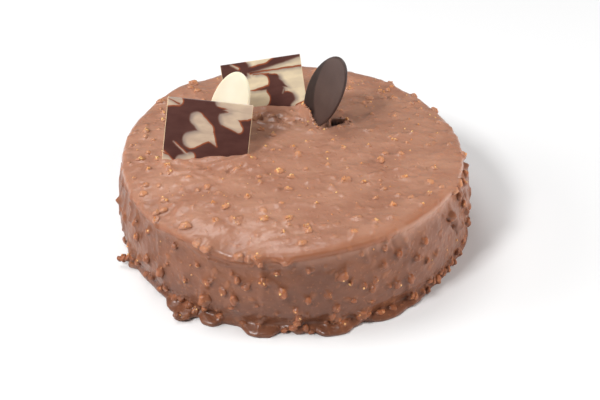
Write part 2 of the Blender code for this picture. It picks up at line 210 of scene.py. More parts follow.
# Nuts that stand out on the rim and side: angle, height, length, turn, share that is bare
SIDE_NUTS = (
    (-98.9, 35.5, 6.6, 110, 0.9), (-93.3, 29.4, 6.8, 100, 0.4), (-104.1, 30.5, 4.6, 20, 0.7),
    (-111.7, 24.8, 4.9, 130, 1), (-107.4, 33.7, 4.9, 100, 0.2), (-74.9, 37.3, 7.3, 50, 0.9),
    (-85.6, 23.7, 4.6, 90, 0.3), (-117.4, 16, 8.5, 60, 0), (-108.2, 20.9, 5.9, 110, 0.2),
    (-135.2, 20.4, 7.1, 75, 0.1), (-142.4, 22.3, 6.3, 90, 0.1), (-133.6, 10.9, 5.4, 90, 0.3),
    (-89.4, 17.2, 4.6, 90, 0.4), (-77.1, 16.6, 5.4, 80, 0.4), (-77.4, 8.7, 5.6, 20, 0.3),
    (-72.4, 30.9, 3.2, 90, 0.8), (-68.2, 28.4, 4.4, 90, 0.7), (-64.1, 29.1, 3.9, 90, 0.7),
    (-55.2, 39.8, 4.6, 70, 0.1), (-48, 33, 4.6, 50, 0.3), (-56.1, 20.9, 5.6, 90, 0.4),
    (-51.3, 20.9, 6.1, 100, 0.2), (-65.2, 23.7, 4.9, 90, 0.3), (-43.8, 25.9, 4.1, 60, 0.4),
    (-130.2, 41.5, 4.1, 90, 0.3), (-120.8, 36.6, 3.4, 0, 0.5), (-94.7, 41.2, 3.9, 10, 0.8),
    (-150.8, 36.5, 5.6, 90, 0.4), (-149.1, 29.6, 5.6, 90, 0.3), (-101.3, 51, 6.2, 20, 0.5),
    (-103.6, 49.6, 4.8, 100, 0.3), (-99.9, 47, 5.1, 60, 0.2), (-106.7, 50.4, 6.4, 10, 0),
    (-117.4, 49.8, 6, 15, 0.2), (-120.6, 50.4, 5, 20, 0.4), (-139.2, 52.4, 5.2, 110, 0.4),
    (-20, 52.6, 5.4, 60, 0.3), (-24.4, 53.4, 5, 50, 0.5), (-3, 54.2, 5, 90, 0.6),
    (-8.6, 47, 5.6, 90, 0.2), (-13, 45.5, 5.4, 90, 0.3), (-60, 47.5, 4.1, 90, 0.6),
    (40.2, 53.5, 4.2, 30, 0.4), (28.6, 53, 4.8, 30, 0.2), (51.1, 53.6, 4.6, 30, 0.4),
    (-100.4, 5.2, 5.6, 60, 0.1), (-68, 6.2, 7.1, 30, 0.4), (-124.4, 5.6, 7.6, 20, 0.1),
    (-122, 3, 6, 60, 0.3), (-130.6, 4.6, 6.2, 80, 0.1), (-127.6, 8.6, 5.4, 30, 0.2),
    (-88.7, 12.6, 4.6, 90, 0.4), (-88.9, 7.4, 5.4, 80, 0.1), (-89.8, 3.6, 5.6, 20, 0.2),
    (-86.6, 3, 5, 100, 0.2), (-84.4, 1.8, 4.6, 10, 0.3), (-92.6, 2.6, 4.2, 50, 0.2),
    (-77.9, 11.6, 5, 90, 0.3), (-76.2, 6.6, 5.6, 70, 0.1), (-74.8, 3, 6.4, 40, 0.2),
    (-73, 5.2, 4.4, 20, 0.2), (-79.4, 5, 4, 120, 0.3), (-68.6, 8.4, 6.4, 10, 0.4),
    (-66.2, 5.4, 4.6, 20, 0.1), (-61.8, 3.8, 5.4, 30, 0.2), (-57, 2.8, 4.6, 10, 0.1),
    (-49.4, 5.6, 5.8, 60, 0.3), (-48, 2.6, 5.4, 90, 0.2), (-44.6, 3.6, 5.2, 100, 0.1),
    (-42, 2.4, 4.4, 80, 0.3), (-38.6, 5.6, 5.4, 95, 0.1), (-36.3, 3.6, 5.8, 90, 0.2),
    (-34.6, 8.4, 4.6, 85, 0.1), (-32.4, 4.6, 6, 90, 0.1), (-29.6, 3.2, 5, 100, 0.2),
    (-27.4, 7, 5.6, 80, 0.1), (-24.8, 3, 4.8, 90, 0.3), (-22, 8, 5.2, 95, 0.1),
    (-19, 3.4, 5.4, 90, 0.2), (-17, 11, 5, 85, 0.4), (-15.4, 20, 5.6, 90, 0.3),
    (-12, 6, 5, 90, 0.2), (-18.6, 38, 5.6, 95, 0.3), (-16.4, 30, 5.4, 90, 0.2),
    (-21, 45, 4.8, 60, 0.3), (-9, 14, 5.2, 90, 0.1), (-6, 30, 5.6, 80, 0.3),
    (-4, 9, 4.8, 90, 0.2), (-141.6, 10, 5.6, 85, 0.1), (-146, 6, 5, 60, 0.2),
    (-150.4, 10, 5.2, 80, 0.3), (-137.8, 4, 5, 30, 0.1), (-113.6, 4, 4.6, 20, 0.2),
    (-118.6, 8.6, 4.8, 70, 0.1), (-105.6, 3.4, 4.4, 15, 0.1),
)

# Decorations, as in the solids. Places: centre, turn, lean and roll
PLAQUE_SIZE = 50.0
PLAQUE_THICKNESS = 2.2
OVAL_LENGTH = 55.0
OVAL_WIDTH = 31.0
OVAL_THICKNESS = 2.0
OVAL_CUP = 0.9
PLACES = {
    "plaque_front": ((-50.7, -9.3, 65.3), 4.1, 22.1, 8.4),
    "plaque_back": ((-16.6, 46.8, 60.8), 4.0, 29.5, -6.2),
    "oval_white": ((-38.6, 19.8, 68.5), -47.3, 15.4, 12.5),
    "oval_dark": ((19.5, 26.7, 78.0), -59.4, 14.2, 23.3),
}

# Glaze drawn up along the foot of a decoration: reach, height, waviness
CONTACTS = (
    ("plaque_front", 2.4, 1.1, 0.4),
    ("plaque_back", 2.2, 0.8, 0.3),
    ("oval_dark", 2.0, 0.7, 0.3),
)
OVAL_FOOT_SHARE = 0.45

# Torn hole beside the dark oval. Its tears: reach, count round it, phase. Its raised rim:
# height, place and reach in radii of the hole. Where its wall and its dark shade ease out
PIT_CENTRE = (27.0, 27.2, 57.2)
PIT_RADII = (4.6, 3.6, 4.4)
PIT_TEARS = ((0.12, 3, 1), (0.09, 7, 0), (0.05, 11, 2))
PIT_RIM = (1.1, 1.22, 0.24)
PIT_WALL = (0.6, 0.45)
PIT_SHADE = (0.75, 0.35)

# Hollow between the foot of the dark oval and the torn hole: from, to, half width, height
PIT_CHANNEL = ((20.5, 22.5), (26.0, 25.0), 2.2, -1.8)

# Ridges and hollows of the glaze on the top: from, to, half width, height
TOP_STROKES = (
    ((-18.6, 37), (-15.4, 38.2), 1.5, 1.1), ((-14.6, 29.6), (-10.8, 28.6), 1.7, 1.3),
    ((-10.6, 23.2), (-7, 24), 1.3, 1), ((-7, 20.4), (-3.6, 19.6), 1.4, 1),
    ((-3.4, 26.4), (0.4, 25), 1.5, 1.1), ((-20.8, 26.4), (-16.8, 25.2), 1.4, 0.9),
    ((2.4, 31.4), (6.4, 29.4), 1.4, 1), ((-16, 33.6), (-8, 33), 1.6, -1.1),
    ((-7.6, 27.4), (-5, 29.8), 1.3, -1), ((-28, -64), (-10, -60), 2.2, 1),
    ((-66, -66), (-61, -57), 2.6, 0.8), ((9, -38), (24, -32.5), 2.3, 1.1),
    ((45, -32), (60, -27), 2.8, 1.2), ((60, 11), (94, 16), 2.6, 0.8),
    ((33, -21), (46, -24), 2, 0.4), ((-46, -21), (-28, -14.5), 2.6, 1.9),
    ((-37, -26), (-29, -22), 2, -1.5), ((-68, -27.5), (-60, -26), 2.2, 0.9),
    ((-57, -27.5), (-49, -25.5), 1.8, 0.8), ((-58, -30), (-52, -33), 1.6, 0.7),
    ((-36, -31), (-33, -27), 1.6, 0.8), ((-64, -42), (-50, -37), 2.4, 0.6),
    ((2, -58), (12, -60), 1.8, 0.5), ((60, -46), (70, -44), 3, 0.6),
    ((68, -36), (80, -33), 2.6, 0.6), ((32, 50), (46, 56), 3.4, 0.8),
    ((33, 44), (41, 46), 2.4, 0.9), ((76, 33), (84, 30), 3.4, 0.8), ((78, 22), (90, 18), 2, 0.6),
)

# Ridges and hollows on the side: (angle, height) from and to, half width, height
SIDE_STROKES = (
    ((-31, 41), (-28.6, 36.4), 0.8, -2), ((-28.6, 36.4), (-26, 29.6), 1.2, -2.6),
    ((-26, 29.6), (-24, 23), 0.9, -2.2), ((-28, 42), (-25.4, 35), 1.6, 1),
    ((-24.6, 33), (-21, 25), 1.8, 1.1), ((-14.2, 41), (-13, 37), 1.3, -2.4),
    ((-10.8, 23), (-9.6, 18.6), 1.3, -2.2), ((-17.5, 46), (-16, 30), 1.5, 1.3),
    ((-7, 40), (-5, 26), 1.7, 1.2), ((-1, 44), (1, 20), 1.8, 1), ((7, 42), (8.5, 18), 1.9, 1.2),
    ((-125, 46), (-117, 42.8), 1.1, 0.7), ((-117, 42.8), (-111, 41.4), 1.1, 0.8),
    ((-111, 41.4), (-104, 42.6), 1, 0.6), ((-104, 42.6), (-92, 45), 1, 0.5),
    ((-66.9, 50), (-66.4, 43), 1.3, 0.8), ((-63, 50), (-62, 44), 1.5, 0.6),
    ((-57.5, 50), (-55.5, 41), 1.6, -0.8), ((-53, 51), (-51.5, 43), 2.2, 0.8),
    ((-172, 50), (-169, 24), 1.7, 1.2), ((-164, 48), (-162, 20), 1.6, 1.1),
    ((-156.5, 50), (-156, 34), 1.6, 1), ((-152, 44), (-150, 24), 1.5, 0.9),
    ((-179, 46), (-177, 18), 2, 1.2),
)

# Slopes of the rim: angle, half width and how much lower the glaze lies there
RIM_SLOPES = ((-133, 14, 1.0),)

# Swell of the glaze inside the low lip: angle and half width, radius and reach, height
RIM_SWELLS = (
    (-114, 17, 89.5, 5.5, 1.1), (-60, 25, 91, 5, 0.5),
)

# Orange edge of the thick glaze, darkened there as painted shade: angle and half width, place along
# the outline and reach, strength
RIM_EDGES_AND_SHADE = (
    (-140, 30, 104.4, 1.8, 0.9), (-84, 30, 104.2, 2.6, 1), (-78, 26, 100.8, 3.4, 0.42),
    (-46, 20, 98.8, 3.6, 0.36), (-46, 20, 101.2, 1.6, 0.5), (170, 38, 104.6, 1.6, 0.4),
    (60, 90, 104.2, 2, 0.3),
)

# Crest of the torn crust to the left of the dark oval: x, y, height
CRUST = (
    (3.6, 47.5, 0.4), (5.2, 43.6, 2.4), (6.5, 38.4, 5), (7.2, 36.8, 4.6), (8, 35.2, 5),
    (9.7, 32.2, 5.4), (10.7, 30.1, 5.2), (11.5, 27.3, 3.1), (13.3, 22.9, 0.8), (15.6, 18.6, 0.2),
)
CRUST_HALF_WIDTH = 1.5

# Crumbs of torn glaze and nut on the top: x, y, size, and 1 for bare nut
CRUMBS = (
    (33.2, 28.4, 3, 1), (35.4, 27.2, 1.7, 0), (32, 25.4, 1.4, 0), (34.2, 30.4, 1.5, 1),
    (30, 31.4, 1.6, 0), (6.4, 39.6, 2.8, 1), (7, 38, 1.8, 0), (7.6, 35.8, 2.2, 1),
    (8.4, 34.6, 1.4, 0), (9.8, 32, 1.5, 0), (10.8, 29.8, 1.6, 1), (11.6, 27, 1.5, 0),
    (12.6, 24.4, 1.6, 0), (13.6, 21.8, 1.7, 1), (15, 19.4, 1.9, 0), (16.8, 18, 1.7, 0),
    (18.9, 17.6, 1.8, 1), (20.8, 18.4, 1.5, 0), (8.6, 22.4, 1.8, 0), (6.2, 25.6, 1.6, 1),
    (4.4, 28.5, 1.3, 0), (9.4, 26, 1.4, 1),
)

# Soft unevenness of the glaze: seeded strokes that mostly run from left to right on the top
# and downwards on the side. Pairs are ranges, and leans are a middle and a spread
COMB_COUNT = 150
COMB_SEED = 23
COMB_HEIGHT = (0.15, 0.5)
COMB_WIDTH = (1.1, 3.2)
COMB_LENGTH = (4.0, 24.0)
COMB_TOP_REACH = 96.0
COMB_TOP_LEAN = (0.12, 0.35)
COMB_SIDE_LOW = (6.0, 40.0)
COMB_SIDE_LEAN = (0.0, 3.0)
COMB_SIDE_HIGH = 50.0

# Bits of nut wholly under the glaze of the top, which lift it in low bumps
BUMP_COUNT = 260
BUMP_SEED = 31
BUMP_LENGTH = (0.2, 2.6)
BUMP_WIDTH = (0.9, 1.9)
BUMP_HEIGHT = (0.2, 0.7)

# Lift of the glaze over a nut, in shares of its length: height on the side and how much less on
# the top, its spread, its crest and skirt, its knobs (count, reach), and how thin it gets there
LIFT_SEED = 5
LIFT_SIDE = 0.36
LIFT_LOSS_ON_TOP = 0.13
LIFT_SPREAD = (0.85, 1.15)
LIFT_SHARES = (0.7, 0.3)
LIFT_KNOBS = ((3, 0.14), (5, 0.08))
LIFT_REACH_SQUARED = 1.4
THIN_COVERED = 0.35
THIN_BARE = 0.65

# Fine ripples of the glaze
RIPPLE_HEIGHT = 2.2
RIPPLE_DENSITY = 76.0
RIPPLE_DETAIL = 2.5
RIPPLE_SEED = 3.0
RIPPLE_STRETCH = (0.5, 1.0, 0.7)

# Fineness of the glaze: spacing of its rings, steps round each zone, and how much closer the
# steps are at the front than at the back
RING_SPACING = 0.92
INNER_ZONE = 26.0
MIDDLE_ZONE = 52.0
ZONE_STEPS = (170, 340, 680)
FRONT_CROWDING = 0.3

# How far inside the solid's box every piece keeps, so that ripples stay in it
BOX_MARGIN = 0.7

# Marbling of the plaques: strokes of light (1) or dark (-1) chocolate laid one over another,
# each from a point (x, z, radius) to another, seen from the front with its middle at 0, 0
FRONT_MARBLING = (
    (1, (-27, 22.6, 2.8), (-18.4, 23.3, 2.2)), (-1, (-24.5, 24.2, 0.2), (-18.2, 21.9, 0.6)),
    (1, (5, 24.6, 2.2), (27, 23, 5)), (1, (13, 18.5, 3.6), (27, 20.5, 3.4)),
    (1, (10.8, 16, 5.2), (18, 10.2, 2.2)), (-1, (0, 19.4, 3.2), (11, 19.8, 0.1)),
    (-1, (25.9, 12.2, 5.4), (26.5, 4, 7.2)), (1, (-7.4, 14.2, 3.8), (-1, 8, 4.2)),
    (1, (-9.2, 1.2, 4.9), (-1.6, 4.6, 4)), (1, (1.2, 4.6, 3), (5.8, -1.2, 0.1)),
    (-1, (0.6, -6.6, 6), (7.5, -6.8, 5.4)), (-1, (-16.5, -3, 0.1), (-7.5, -5.6, 0.9)),
    (1, (-19.4, -0.7, 0.2), (-11, -7.6, 0.55)), (1, (-13.6, -11.6, 3.4), (-8.6, -8.6, 2.4)),
    (-1, (0.2, -9.2, 6.3), (6, -9, 5.6)), (1, (-27, -9.6, 3.6), (-21.4, -14.4, 3.6)),
    (-1, (-25, -7.8, 0.3), (-20.5, -9.4, 0.5)), (1, (0.4, -10.2, 1), (4.4, -9.4, 0.5)),
)
BACK_MARBLING = (
    (-1, (-24, 21.5, 5.6), (-12.2, 21.2, 4.7)), (-1, (-24, 13, 6), (-12, 17.4, 3)),
    (1, (-18.6, 24.4, 0.3), (-14.5, 21.4, 0.7)), (-1, (-8, 19.6, 2), (4.4, 21.2, 1.6)),
    (-1, (4.4, 21.4, 1.8), (10, 23.4, 2.8)), (-1, (10, 23.4, 2.8), (25.5, 26.4, 2.9)),
    (-1, (-7, 17.6, 0.9), (2, 17.9, 0.5)), (-1, (2, 17.9, 0.5), (25.5, 17.8, 0.55)),
    (-1, (-5.5, 16.4, 0.3), (3.4, 14.8, 1.5)), (-1, (4, 14.2, 1.5), (7.4, 12.4, 2.9)),
    (-1, (5.6, 10.4, 4.6), (6.8, 3, 5.9)), (-1, (7, -3, 8.2), (-4, -10, 9)),
    (-1, (8.6, 9.4, 3), (14.4, 5.9, 0.1)), (-1, (13.2, -1.4, 4.9), (11.5, -5, 5.6)),
    (1, (-9, 11.3, 4.7), (-1.2, 11.4, 4.5)), (1, (-10, 0.4, 5.6), (-2.9, 0.8, 5.3)),
    (-1, (-9, 6.8, 0.2), (2.5, 7.4, 1.6)), (1, (12, 4.7, 0.3), (11, 2.6, 0.05)),
    (-1, (19.6, -7.6, 2.4), (24.6, -6.2, 2.4)), (1, (15.9, -5.8, 0.9), (17.6, -3.9, 0.8)),
)

# Camera: place in metres, pitch down, yaw to the right, lens and sensor
CAMERA_PLACE = (0.0, -0.68963, 0.50844)
CAMERA_PITCH = 35.46
CAMERA_YAW = 0.36
CAMERA_LENS = 82.8
SENSOR_WIDTH = 36.0
NEAREST_SEEN = 0.01

# Soft lights: azimuth, elevation, distance and size in metres, power, and whether gloss mirrors
# them: those that it doesn't only fill the shade
SOFTBOXES = {
    "window": (144, 68, 1.5, (0.9, 0.6), 8.0, True),
    "ceiling": (225, 46, 1.5, (0.3, 0.3), 14.0, True),
    "left": (182, 24, 1.6, (0.8, 0.8), 11.5, False),
    "right": (0, 12, 1.6, (0.8, 0.8), 26.0, False),
}
LIGHT_TARGET = (0.0, 0.0, 0.04)
ROOM_LIGHT = 0.17
FLOOR_REACH = 3000.0
FLOOR_HEIGHT = -0.05
FLOOR_FINISH = {"Base Color": (0.88, 0.88, 0.88, 1.0), "Roughness": 0.9}


# ---------------- node trees


class Wire:
    """An output socket: sums on it add Math nodes to its tree."""

    def __init__(self, recipe, socket):
        self.recipe = recipe
        self.socket = socket

    def maths(self, operation, *values):
        inputs = dict(enumerate(values))
        return self.recipe.node("ShaderNodeMath", {"operation": operation}, inputs)

    def __add__(self, other):
        return self.maths("ADD", self, other)

    def __sub__(self, other):
        return self.maths("SUBTRACT", self, other)

    def __rsub__(self, other):
        return self.maths("SUBTRACT", other, self)

    def __mul__(self, other):
        return self.maths("MULTIPLY", self, other)

    def __truediv__(self, other):
        return self.maths("DIVIDE", self, other)

    def __rtruediv__(self, other):
        return self.maths("DIVIDE", other, self)

    def __neg__(self):
        return self.maths("MULTIPLY", self, -1.0)

    def __abs__(self):
        return self.maths("ABSOLUTE", self)

    __radd__ = __add__
    __rmul__ = __mul__

    def least(self, other):
        return self.maths("MINIMUM", self, other)

    def most(self, other):
        return self.maths("MAXIMUM", self, other)

    def beside(self, name):
        """Another output of the same node."""
        return Wire(self.recipe, self.recipe.find(self.socket.node.outputs, name))

    def rise(self, low, high, bottom=0.0, top=1.0):
        """Ease from bottom at low to top at high."""
        ends = {"From Min": low, "From Max": high, "To Min": bottom, "To Max": top}
        eased = {"interpolation_type": "SMOOTHSTEP"}
        return self.recipe.node("ShaderNodeMapRange", eased, {"Value": self, **ends})


class Recipe:
    """A node tree, filled by calls that each add one node."""

    def __init__(self, tree):
        self.tree = tree

    def node(self, kind, settings=None, inputs=None, output=0):
        """Add a node, apply its settings, fill its sockets and return one of its outputs."""
        made = self.tree.nodes.new(kind)
        for name, value in (settings or {}).items():
            setattr(made, name, value)
        for key, value in (inputs or {}).items():
            socket = self.find(made.inputs, key)
            if isinstance(value, Wire):
                self.tree.links.new(value.socket, socket)
            else:
                socket.default_value = value
        return Wire(self, self.find(made.outputs, output))

    @staticmethod
    def find(sockets, key):
        """A socket by its number, or by its name or identifier among the enabled ones."""
        if isinstance(key, int):
            return sockets[key]
        return next(s for s in sockets if s.enabled and key in (s.identifier, s.name))

    def vector(self, operation, *values, output="Vector"):
        """Vector Math on these values."""
        inputs = dict(enumerate(values))
        return self.node("ShaderNodeVectorMath", {"operation": operation}, inputs, output)

    def scaled(self, vector, share):
        """A vector times a number."""
        inputs = {0: vector, "Scale": share}
        return self.node("ShaderNodeVectorMath", {"operation": "SCALE"}, inputs)

    def axis(self, vector, name):
        """X, Y or Z of a vector."""
        return self.node("ShaderNodeSeparateXYZ", {}, {"Vector": vector}, name)

    def colour(self, factor, first, second):
        """Mix two colours."""
        inputs = {"Factor_Float": factor, "A_Color": first, "B_Color": second}
        return self.node("ShaderNodeMix", {"data_type": "RGBA"}, inputs, "Result_Color")

    def object_place(self):
        """Where a point of the surface lies, in metres."""
        return self.node("ShaderNodeTexCoord", output="Object")

    def attribute(self, name):
        """A value kept on the mesh."""
        return self.node("ShaderNodeAttribute", {"attribute_name": name}, output="Fac")

    def noise(self, place, scale, detail=2.0, roughness=0.5, output=0):
        """Noise from 0 to 1 at this many cells per unit of the place."""
        inputs = {"Vector": place, "Scale": scale, "Detail": detail, "Roughness": roughness}
        return self.node("ShaderNodeTexNoise", {}, inputs, output)

    def mapped(self, place, location=(0, 0, 0), rotation=(0, 0, 0), scale=(1, 1, 1)):
        """A place seen from a frame at this location, turned and scaled."""
        inputs = {"Vector": place, "Location": location, "Rotation": rotation, "Scale": scale}
        return self.node("ShaderNodeMapping", {"vector_type": "TEXTURE"}, inputs)

    def bump(self, height, distance, strength=1.0):
        """A normal from a height in units of distance."""
        inputs = {"Height": height, "Distance": distance, "Strength": strength}
        return self.node("ShaderNodeBump", {}, inputs)


def rgb(red, green, blue):
    """A linear colour from display values of 0 to 255."""
    shares = (value / 255 for value in (red, green, blue))
    return (*(s / 12.92 if s <= 0.04045 else ((s + 0.055) / 1.055) ** 2.4 for s in shares), 1.0)


def new_material(name, fixed):
    """A material with one Principled shader whose fixed sockets are set, and its recipe."""
    material = bpy.data.materials.new(name)
    material.use_nodes = True
    shader = material.node_tree.nodes["Principled BSDF"]
    for key, value in fixed.items():
        shader.inputs[key].default_value = value
    return material, Recipe(material.node_tree)


def wire_up(recipe, **links):
    """Link wires to the Principled shader: underscores stand for spaces."""
    shader = recipe.tree.nodes["Principled BSDF"]
    for key, wire in links.items():
        recipe.tree.links.new(wire.socket, shader.inputs[key.replace("_", " ")])


class GeometryRecipe(Recipe):
    """A Geometry Nodes tree with named inputs."""

    def __init__(self, name, sockets):
        super().__init__(bpy.data.node_groups.new(name, "GeometryNodeTree"))
        self.inputs = {}
        face = self.tree.interface
        for given, kind in (("Geometry", "NodeSocketGeometry"), *sockets):
            socket = face.new_socket(name=given, in_out="INPUT", socket_type=kind)
            self.inputs[given] = socket.identifier
        face.new_socket(name="Geometry", in_out="OUTPUT", socket_type="NodeSocketGeometry")
        self.start = self.tree.nodes.new("NodeGroupInput")

    def given(self, name):
        """The wire of a named input."""
        return Wire(self, self.start.outputs[name])

    def named(self, name, kind):
        """A value kept on the points."""
        return self.node("GeometryNodeInputNamedAttribute", {"data_type": kind}, {"Name": name})

    def finish(self, geometry):
        """Realize what was made, give it its material and end the tree."""
        real = self.node("GeometryNodeRealizeInstances", {}, {"Geometry": geometry})
        inputs = {"Geometry": real, "Material": self.given("Material")}
        done = self.node("GeometryNodeSetMaterial", {}, inputs)
        self.tree.links.new(done.socket, self.tree.nodes.new("NodeGroupOutput").inputs[0])

    def apply(self, item, **values):
        """Run the tree on an object with these inputs and keep the result as its plain mesh."""
        modifier = item.modifiers.new("made", "NODES")
        modifier.node_group = self.tree
        for name, value in values.items():
            modifier[self.inputs[name]] = value
        seen = item.evaluated_get(bpy.context.evaluated_depsgraph_get())
        mesh = bpy.data.meshes.new_from_object(seen)
        item.modifiers.remove(modifier)
        item.data = mesh
        mesh.name = item.name
        return item


# ---------------- shape of the glaze


def ease(value, start, length):
    """Ease from 0 at start to 1 this length past it, for a number or an array."""
    share = np.clip((value - start) / length, 0.0, 1.0)
    return share * share * (3.0 - 2.0 * share)


def polar(radius, turn, start=(0.0, 0.0)):
    """The point of a plane at this radius and turn (radians) from a start."""
    return start[0] + radius * math.cos(turn), start[1] + radius * math.sin(turn)


def seen_from(matrix, points):
    """Points in the frame that a matrix places."""
    inverse = np.array(matrix.inverted())
    return points @ inverse[:3, :3].T + inverse[:3, 3]


def wave(angle, centre, half_width, power=2):
    """A bump of height 1 round the angle centre, in degrees: a higher power makes it squarer."""
    away = (angle - centre + 180.0) % 360.0 - 180.0
    return np.exp(-(np.abs(away / half_width) ** power))


def lip_lift(angle):
    """How far the lip is lifted at this angle."""
    return sum(lift * wave(angle, centre, width) for centre, width, lift in LIP_WAVES)


def foot_reach(angle):
    """How far the foot spreads at this angle."""
    tongues = sum(reach * wave(angle, centre, width, 4) for centre, width, reach in FOOT_TONGUES)
    reach, waves, swells, phase = FOOT_RIPPLE
    ripple = np.sin(np.radians(angle * waves)) * np.sin(np.radians(angle * swells + phase))
    return tongues - FOOT_DRAW_IN + reach * ripple


def side_swell(angle):
    """How far the side stands out from a true circle."""
    turn = np.radians(angle)
    return sum(reach * np.sin(waves * turn + phase) for reach, waves, phase in SIDE_SWELLS)


def side_bulge(angle, height):
    """How far the side bulges below its lip at this angle and height."""
    share = 1.0 - ease(height, *BULGE_FADE)
    return share * sum(reach * wave(angle, centre, width) for centre, width, reach in SIDE_BULGES)


# Outline of the glaze as (radius, height), from the middle of the top to the foot
PROFILE = (
    (0.0, CAKE_HEIGHT), (0.42 * LIP_RADIUS, CAKE_HEIGHT - 0.1),
    (0.74 * LIP_RADIUS, CAKE_HEIGHT - 0.6), (0.88 * LIP_RADIUS, CAKE_HEIGHT - 1.4),
    (0.955 * LIP_RADIUS, LIP_HEIGHT + 1.6), (0.985 * LIP_RADIUS, LIP_HEIGHT + 0.6),
    (0.999 * LIP_RADIUS, LIP_HEIGHT - 1.0), (LIP_RADIUS, LIP_HEIGHT - 3.0),
    (0.992 * LIP_RADIUS, LIP_HEIGHT - 5.4), (0.996 * LIP_RADIUS, LIP_HEIGHT - 9.0),
    (SIDE_RADIUS - 1.4, 0.60 * CAKE_HEIGHT), (SIDE_RADIUS, 0.36 * CAKE_HEIGHT),
    (SIDE_RADIUS - 0.2, 0.22 * CAKE_HEIGHT), (FOOT_RADIUS - 1.3, 7.4), (FOOT_RADIUS - 1.5, 4.8),
    (FOOT_RADIUS - 0.4, 3.2), (FOOT_RADIUS, 1.6), (FOOT_RADIUS - 0.6, 0.0),
)
PROFILE_LENGTHS = [math.dist(a, b) for a, b in zip(PROFILE, PROFILE[1:])]
UP = Vector((0.0, 0.0, 1.0)).freeze()


def shaped(radius, height, angle):
    """Where a point of the turned outline lies once the lip, side and foot are uneven."""
    on_slope = ease(radius, *LIP_SLOPE)
    near_lip = on_slope * ease(height, *LIP_FADE)
    on_foot = on_slope * (1.0 - ease(height, *FOOT_FADE))
    swell = side_swell(angle) + side_bulge(angle, height)
    height = height + near_lip * lip_lift(angle)
    radius = radius + on_slope * swell + on_foot * foot_reach(angle)
    turn = np.radians(angle)
    places = [radius * np.cos(turn), radius * np.sin(turn), height + 0.0 * turn]
    return np.stack(places, axis=-1)


def outline_at(share):
    """Radius and height at this share (0 to 1) of the outline's length."""
    left = share * sum(PROFILE_LENGTHS)
    for start, end, length in zip(PROFILE, PROFILE[1:], PROFILE_LENGTHS):
        if left <= length:
            along = left / length
            return tuple(a + (b - a) * along for a, b in zip(start, end))
        left -= length
    return PROFILE[-1]


def glaze_point(share, angle):
    """A point of the glaze and the direction out of it."""
    here = Vector(shaped(*outline_at(share), angle))
    up = Vector(shaped(*outline_at(max(share - NORMAL_STEP, 0.0)), angle))
    down = Vector(shaped(*outline_at(min(share + NORMAL_STEP, 1.0)), angle))
    beside = Vector(shaped(*outline_at(share), angle + 1.0))
    normal = (beside - here).cross(up - down).normalized()
    return here, UP if share < FLAT_MIDDLE else normal


def rounded_outline():
    """The outline as a smooth curve through its points, at the spacing of the rings."""
    keys = [Vector(point) for point in PROFILE]
    keys = [keys[0] * 2 - keys[1]] + keys + [keys[-1] * 2 - keys[-2]]
    curve = []
    for before, start, end, after in zip(keys, keys[1:], keys[2:], keys[3:]):
        length = (end - start).length
        steps = max(2, round(length / RING_SPACING))
        ahead = (end - before).normalized() * length
        behind = (after - start).normalized() * length
        for i in range(steps):
            t = i / steps
            curve.append(
                start * (2 * t**3 - 3 * t**2 + 1)
                + ahead * (t**3 - 2 * t**2 + t)
                + end * (3 * t**2 - 2 * t**3)
                + behind * (t**3 - t**2)
            )
    return curve[1:] + [keys[-2]]


def ring_faces(start, steps, outer, outer_steps):
    """Faces between a ring and the next one out, which has as many or twice as many steps."""
    faces = []
    for i in range(steps):
        j = (i + 1) % steps
        if steps == outer_steps:
            faces.append((start + i, outer + i, outer + j, start + j))
            continue
        middle = outer + 2 * i + 1
        faces.append((start + i, outer + 2 * i, middle))
        faces.append((start + i, middle, start + j))
        faces.append((start + j, middle, outer + 2 * j))
    return faces


def glaze_grid():
    """Points and faces of the fine glaze, and how far along the outline each point lies."""
    points = [np.array([[0.0, 0.0, CAKE_HEIGHT]])]
    along = [[0.0]]
    faces = []
    inner, inner_steps, reached, length, last = 0, 0, 0.0, 0.0, (0.0, CAKE_HEIGHT)
    for radius, height in rounded_outline():
        reached = max(reached, radius)
        length += math.dist((radius, height), last)
        last = (radius, height)
        steps = ZONE_STEPS[(reached > INNER_ZONE) + (reached > MIDDLE_ZONE)]
        start = inner + max(inner_steps, 1)
        share = np.arange(steps) / steps
        angle = 360.0 * share - 90.0 - np.degrees(FRONT_CROWDING * np.sin(2 * math.pi * share))
        points.append(shaped(np.full(steps, radius), np.full(steps, height), angle))
        along.append(np.full(steps, length))
        if inner_steps:
            faces += ring_faces(inner, inner_steps, start, steps)
        else:
            faces += [(0, start + i, start + (i + 1) % steps) for i in range(steps)]
        inner, inner_steps = start, steps
    base = inner + inner_steps
    points.append(np.array([[0.0, 0.0, 0.0]]))
    along.append([length + last[0]])
    faces += [(inner + i, base, inner + (i + 1) % inner_steps) for i in range(inner_steps)]
    return np.concatenate(points), faces, np.concatenate(along)


def kept_in_box(places):
    """Points in millimetres, kept within the solid's box and above the ground."""
    low, high = (np.array(corner) / MM for corner in cad_box)
    margin = (BOX_MARGIN, BOX_MARGIN, 0.0)
    return np.clip(places, low + margin, high - margin)


def mesh_object(name, points, faces):
    """A smooth-shaded mesh object at the origin, from points in millimetres."""
    mesh = bpy.data.meshes.new(name)
    mesh.from_pydata([tuple(float(c) * MM for c in p) for p in points], [], faces)
    mesh.shade_smooth()
    item = bpy.data.objects.new(name, mesh)
    bpy.context.scene.collection.objects.link(item)
    return item


def keep(mesh, name, kind, values):
    """Keep a value of this kind for every point of a mesh."""
    attribute = mesh.attributes.new(name, kind, "POINT")
    values = np.array(values, np.int32 if kind == "INT" else np.float32)
    attribute.data.foreach_set("vector" if kind == "FLOAT_VECTOR" else "value", values.ravel())


def point_normals(mesh):
    """Normals of a mesh's points, as an array."""
    normals = np.empty(len(mesh.vertices) * 3, np.float32)
    mesh.vertex_normals.foreach_get("vector", normals)
    return normals.reshape(-1, 3).astype(float)


# ---------------- nuts


